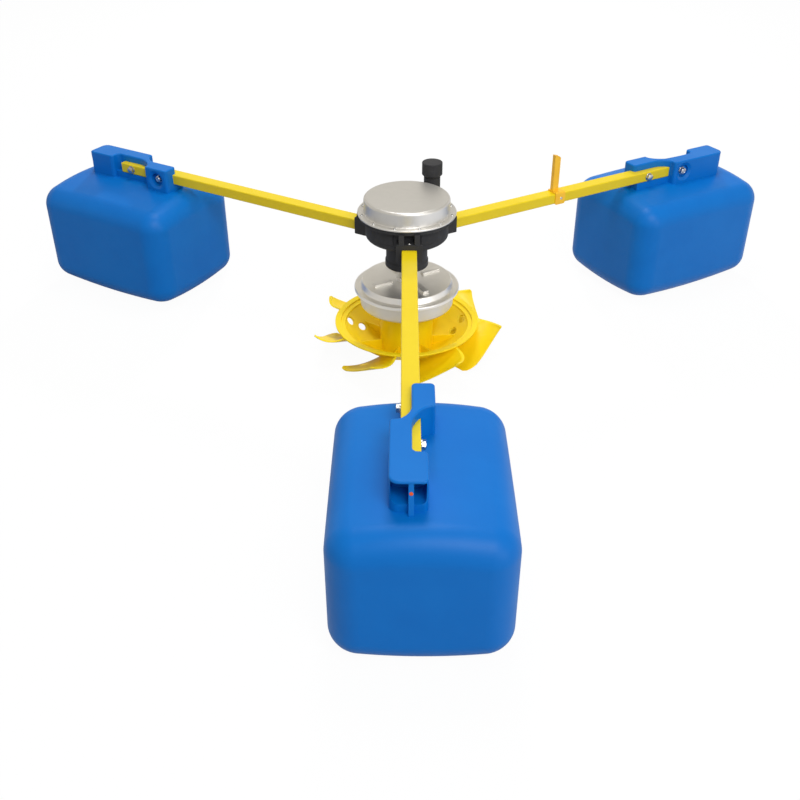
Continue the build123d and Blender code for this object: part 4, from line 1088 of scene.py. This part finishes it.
ribs = bmesh.new()
rib_base = UP * (ARM_HEIGHT + (MOTOR_TOP - RIB_SINK) * MM)
rib_start, rib_end = RIB_REACH
for index in range(RIBS):
    outward, sideways = directions_at(FIRST_RIB + index * 360 / RIBS)
    corners = [outward * reach * MM + sideways * side * MM + rib_base
               for reach, side in ((rib_start, -RIB_HALF_WIDTH), (rib_end, -RIB_HALF_WIDTH),
                                   (rib_end, RIB_HALF_WIDTH), (rib_start, RIB_HALF_WIDTH))]
    rib_edges = pushed_outline(ribs, corners, UP * (RIB_HEIGHT + RIB_SINK) * MM)
    round_edges(ribs, rib_edges, RIB_ROUNDING, 3)
# The ribs share the motor's metal, which is painted brighter against the hub's shade.
motor_ribs = new_piece("motor_ribs", baked(ribs), motor_metal_painted_light)
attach(motor_ribs, "rotor")

# %% [markdown]
# ## The cable hook
#
# The hook is bent from sheet: a saddle that wraps the top and the near side of the right
# arm, and a post that is a narrow channel, cut off at a slant. The outlines are drawn as
# flat faces and pushed to their length, planes cut the slant and round the post's outer
# corner, and a bevel rounds the saddle's fold and its corners.

# %% Post of the hook
POST = (495.5, 515.5)
POST_DEPTH = (-6, 6.5)
POST_TOP = (138, 119)
POST_CORNER = 9
CORNER_DROP = 3
CORNER_CUTS = 6
FIRST_TILT = 8
NEXT_TILT = 13
SADDLE_TOP = 19.5
hook_turn = ARM_TURNS["right"]
hook_out, hook_left = directions_at(hook_turn)

post = bmesh.new()
near, far = POST_DEPTH
start, end = POST
high, low = POST_TOP
channel = [(start, near), (end, near), (end, near + HOOK_SHEET), (start + HOOK_SHEET, near + HOOK_SHEET),
           (start + HOOK_SHEET, far - HOOK_SHEET), (end, far - HOOK_SHEET), (end, far), (start, far)]
channel_foot = [arm_place(hook_turn, along, across, SADDLE_TOP) for along, across in channel]
pushed_outline(post, channel_foot, UP * (high - SADDLE_TOP) * MM)
slant = (UP * (end - start) + hook_out * (high - low)).normalized()
cut_off(post, arm_place(hook_turn, start, 0, high), slant)
centre = arm_place(hook_turn, end - POST_CORNER, 0, low - CORNER_DROP)
for cut in range(CORNER_CUTS):
    tilt = math.radians(FIRST_TILT + NEXT_TILT * cut)
    direction = hook_out * math.cos(tilt) + UP * math.sin(tilt)
    cut_off(post, centre + direction * POST_CORNER * MM, direction)
post_mesh = baked(post)
print("Post faces:", len(post_mesh.polygons))

# %% Saddle of the hook
SADDLE = (496, 531)
SADDLE_FOOT = -17.5
SADDLE_LAP = 16
ARM_TOP = 15
HOOK_GAP = 0.05
FOLD_ROUNDING = 4.5
CORNER_ROUNDING = 5
SAME_PLACE = 1e-6


def lies_along(edge, axis, place):
    """Whether both ends of an edge are as far along an axis as a place is."""
    return all(abs((vert.co - place).dot(axis)) < SAME_PLACE for vert in edge.verts)


saddle = bmesh.new()
inner_face = -ARM_HALF - HOOK_GAP
outer_face = -ARM_HALF - HOOK_SHEET
strip = [(SADDLE_LAP, ARM_TOP), (SADDLE_LAP, SADDLE_TOP), (outer_face, SADDLE_TOP),
         (outer_face, SADDLE_FOOT), (inner_face, SADDLE_FOOT), (inner_face, ARM_TOP)]
strip_end = [arm_place(hook_turn, SADDLE[0], across, height) for across, height in strip]
pushed_outline(saddle, strip_end, hook_out * (SADDLE[1] - SADDLE[0]) * MM)
fold = arm_place(hook_turn, 0, outer_face, SADDLE_TOP)
foot = arm_place(hook_turn, 0, outer_face, SADDLE_FOOT)
folds = [edge for edge in saddle.edges if lies_along(edge, hook_left, fold) and lies_along(edge, UP, fold)]
round_edges(saddle, folds, FOLD_ROUNDING, 5)
lows = [edge for edge in saddle.edges if lies_along(edge, UP, foot)
        and lies_along(edge, hook_out, edge.verts[0].co)]
round_edges(saddle, lows, CORNER_ROUNDING, 4)
saddle_mesh = baked(saddle)

hook = bmesh.new()
hook.from_mesh(post_mesh)
hook.from_mesh(saddle_mesh)
copies("hook_form", hook, [Matrix.Identity(4)], "frame", "cable_hook", hook_orange)
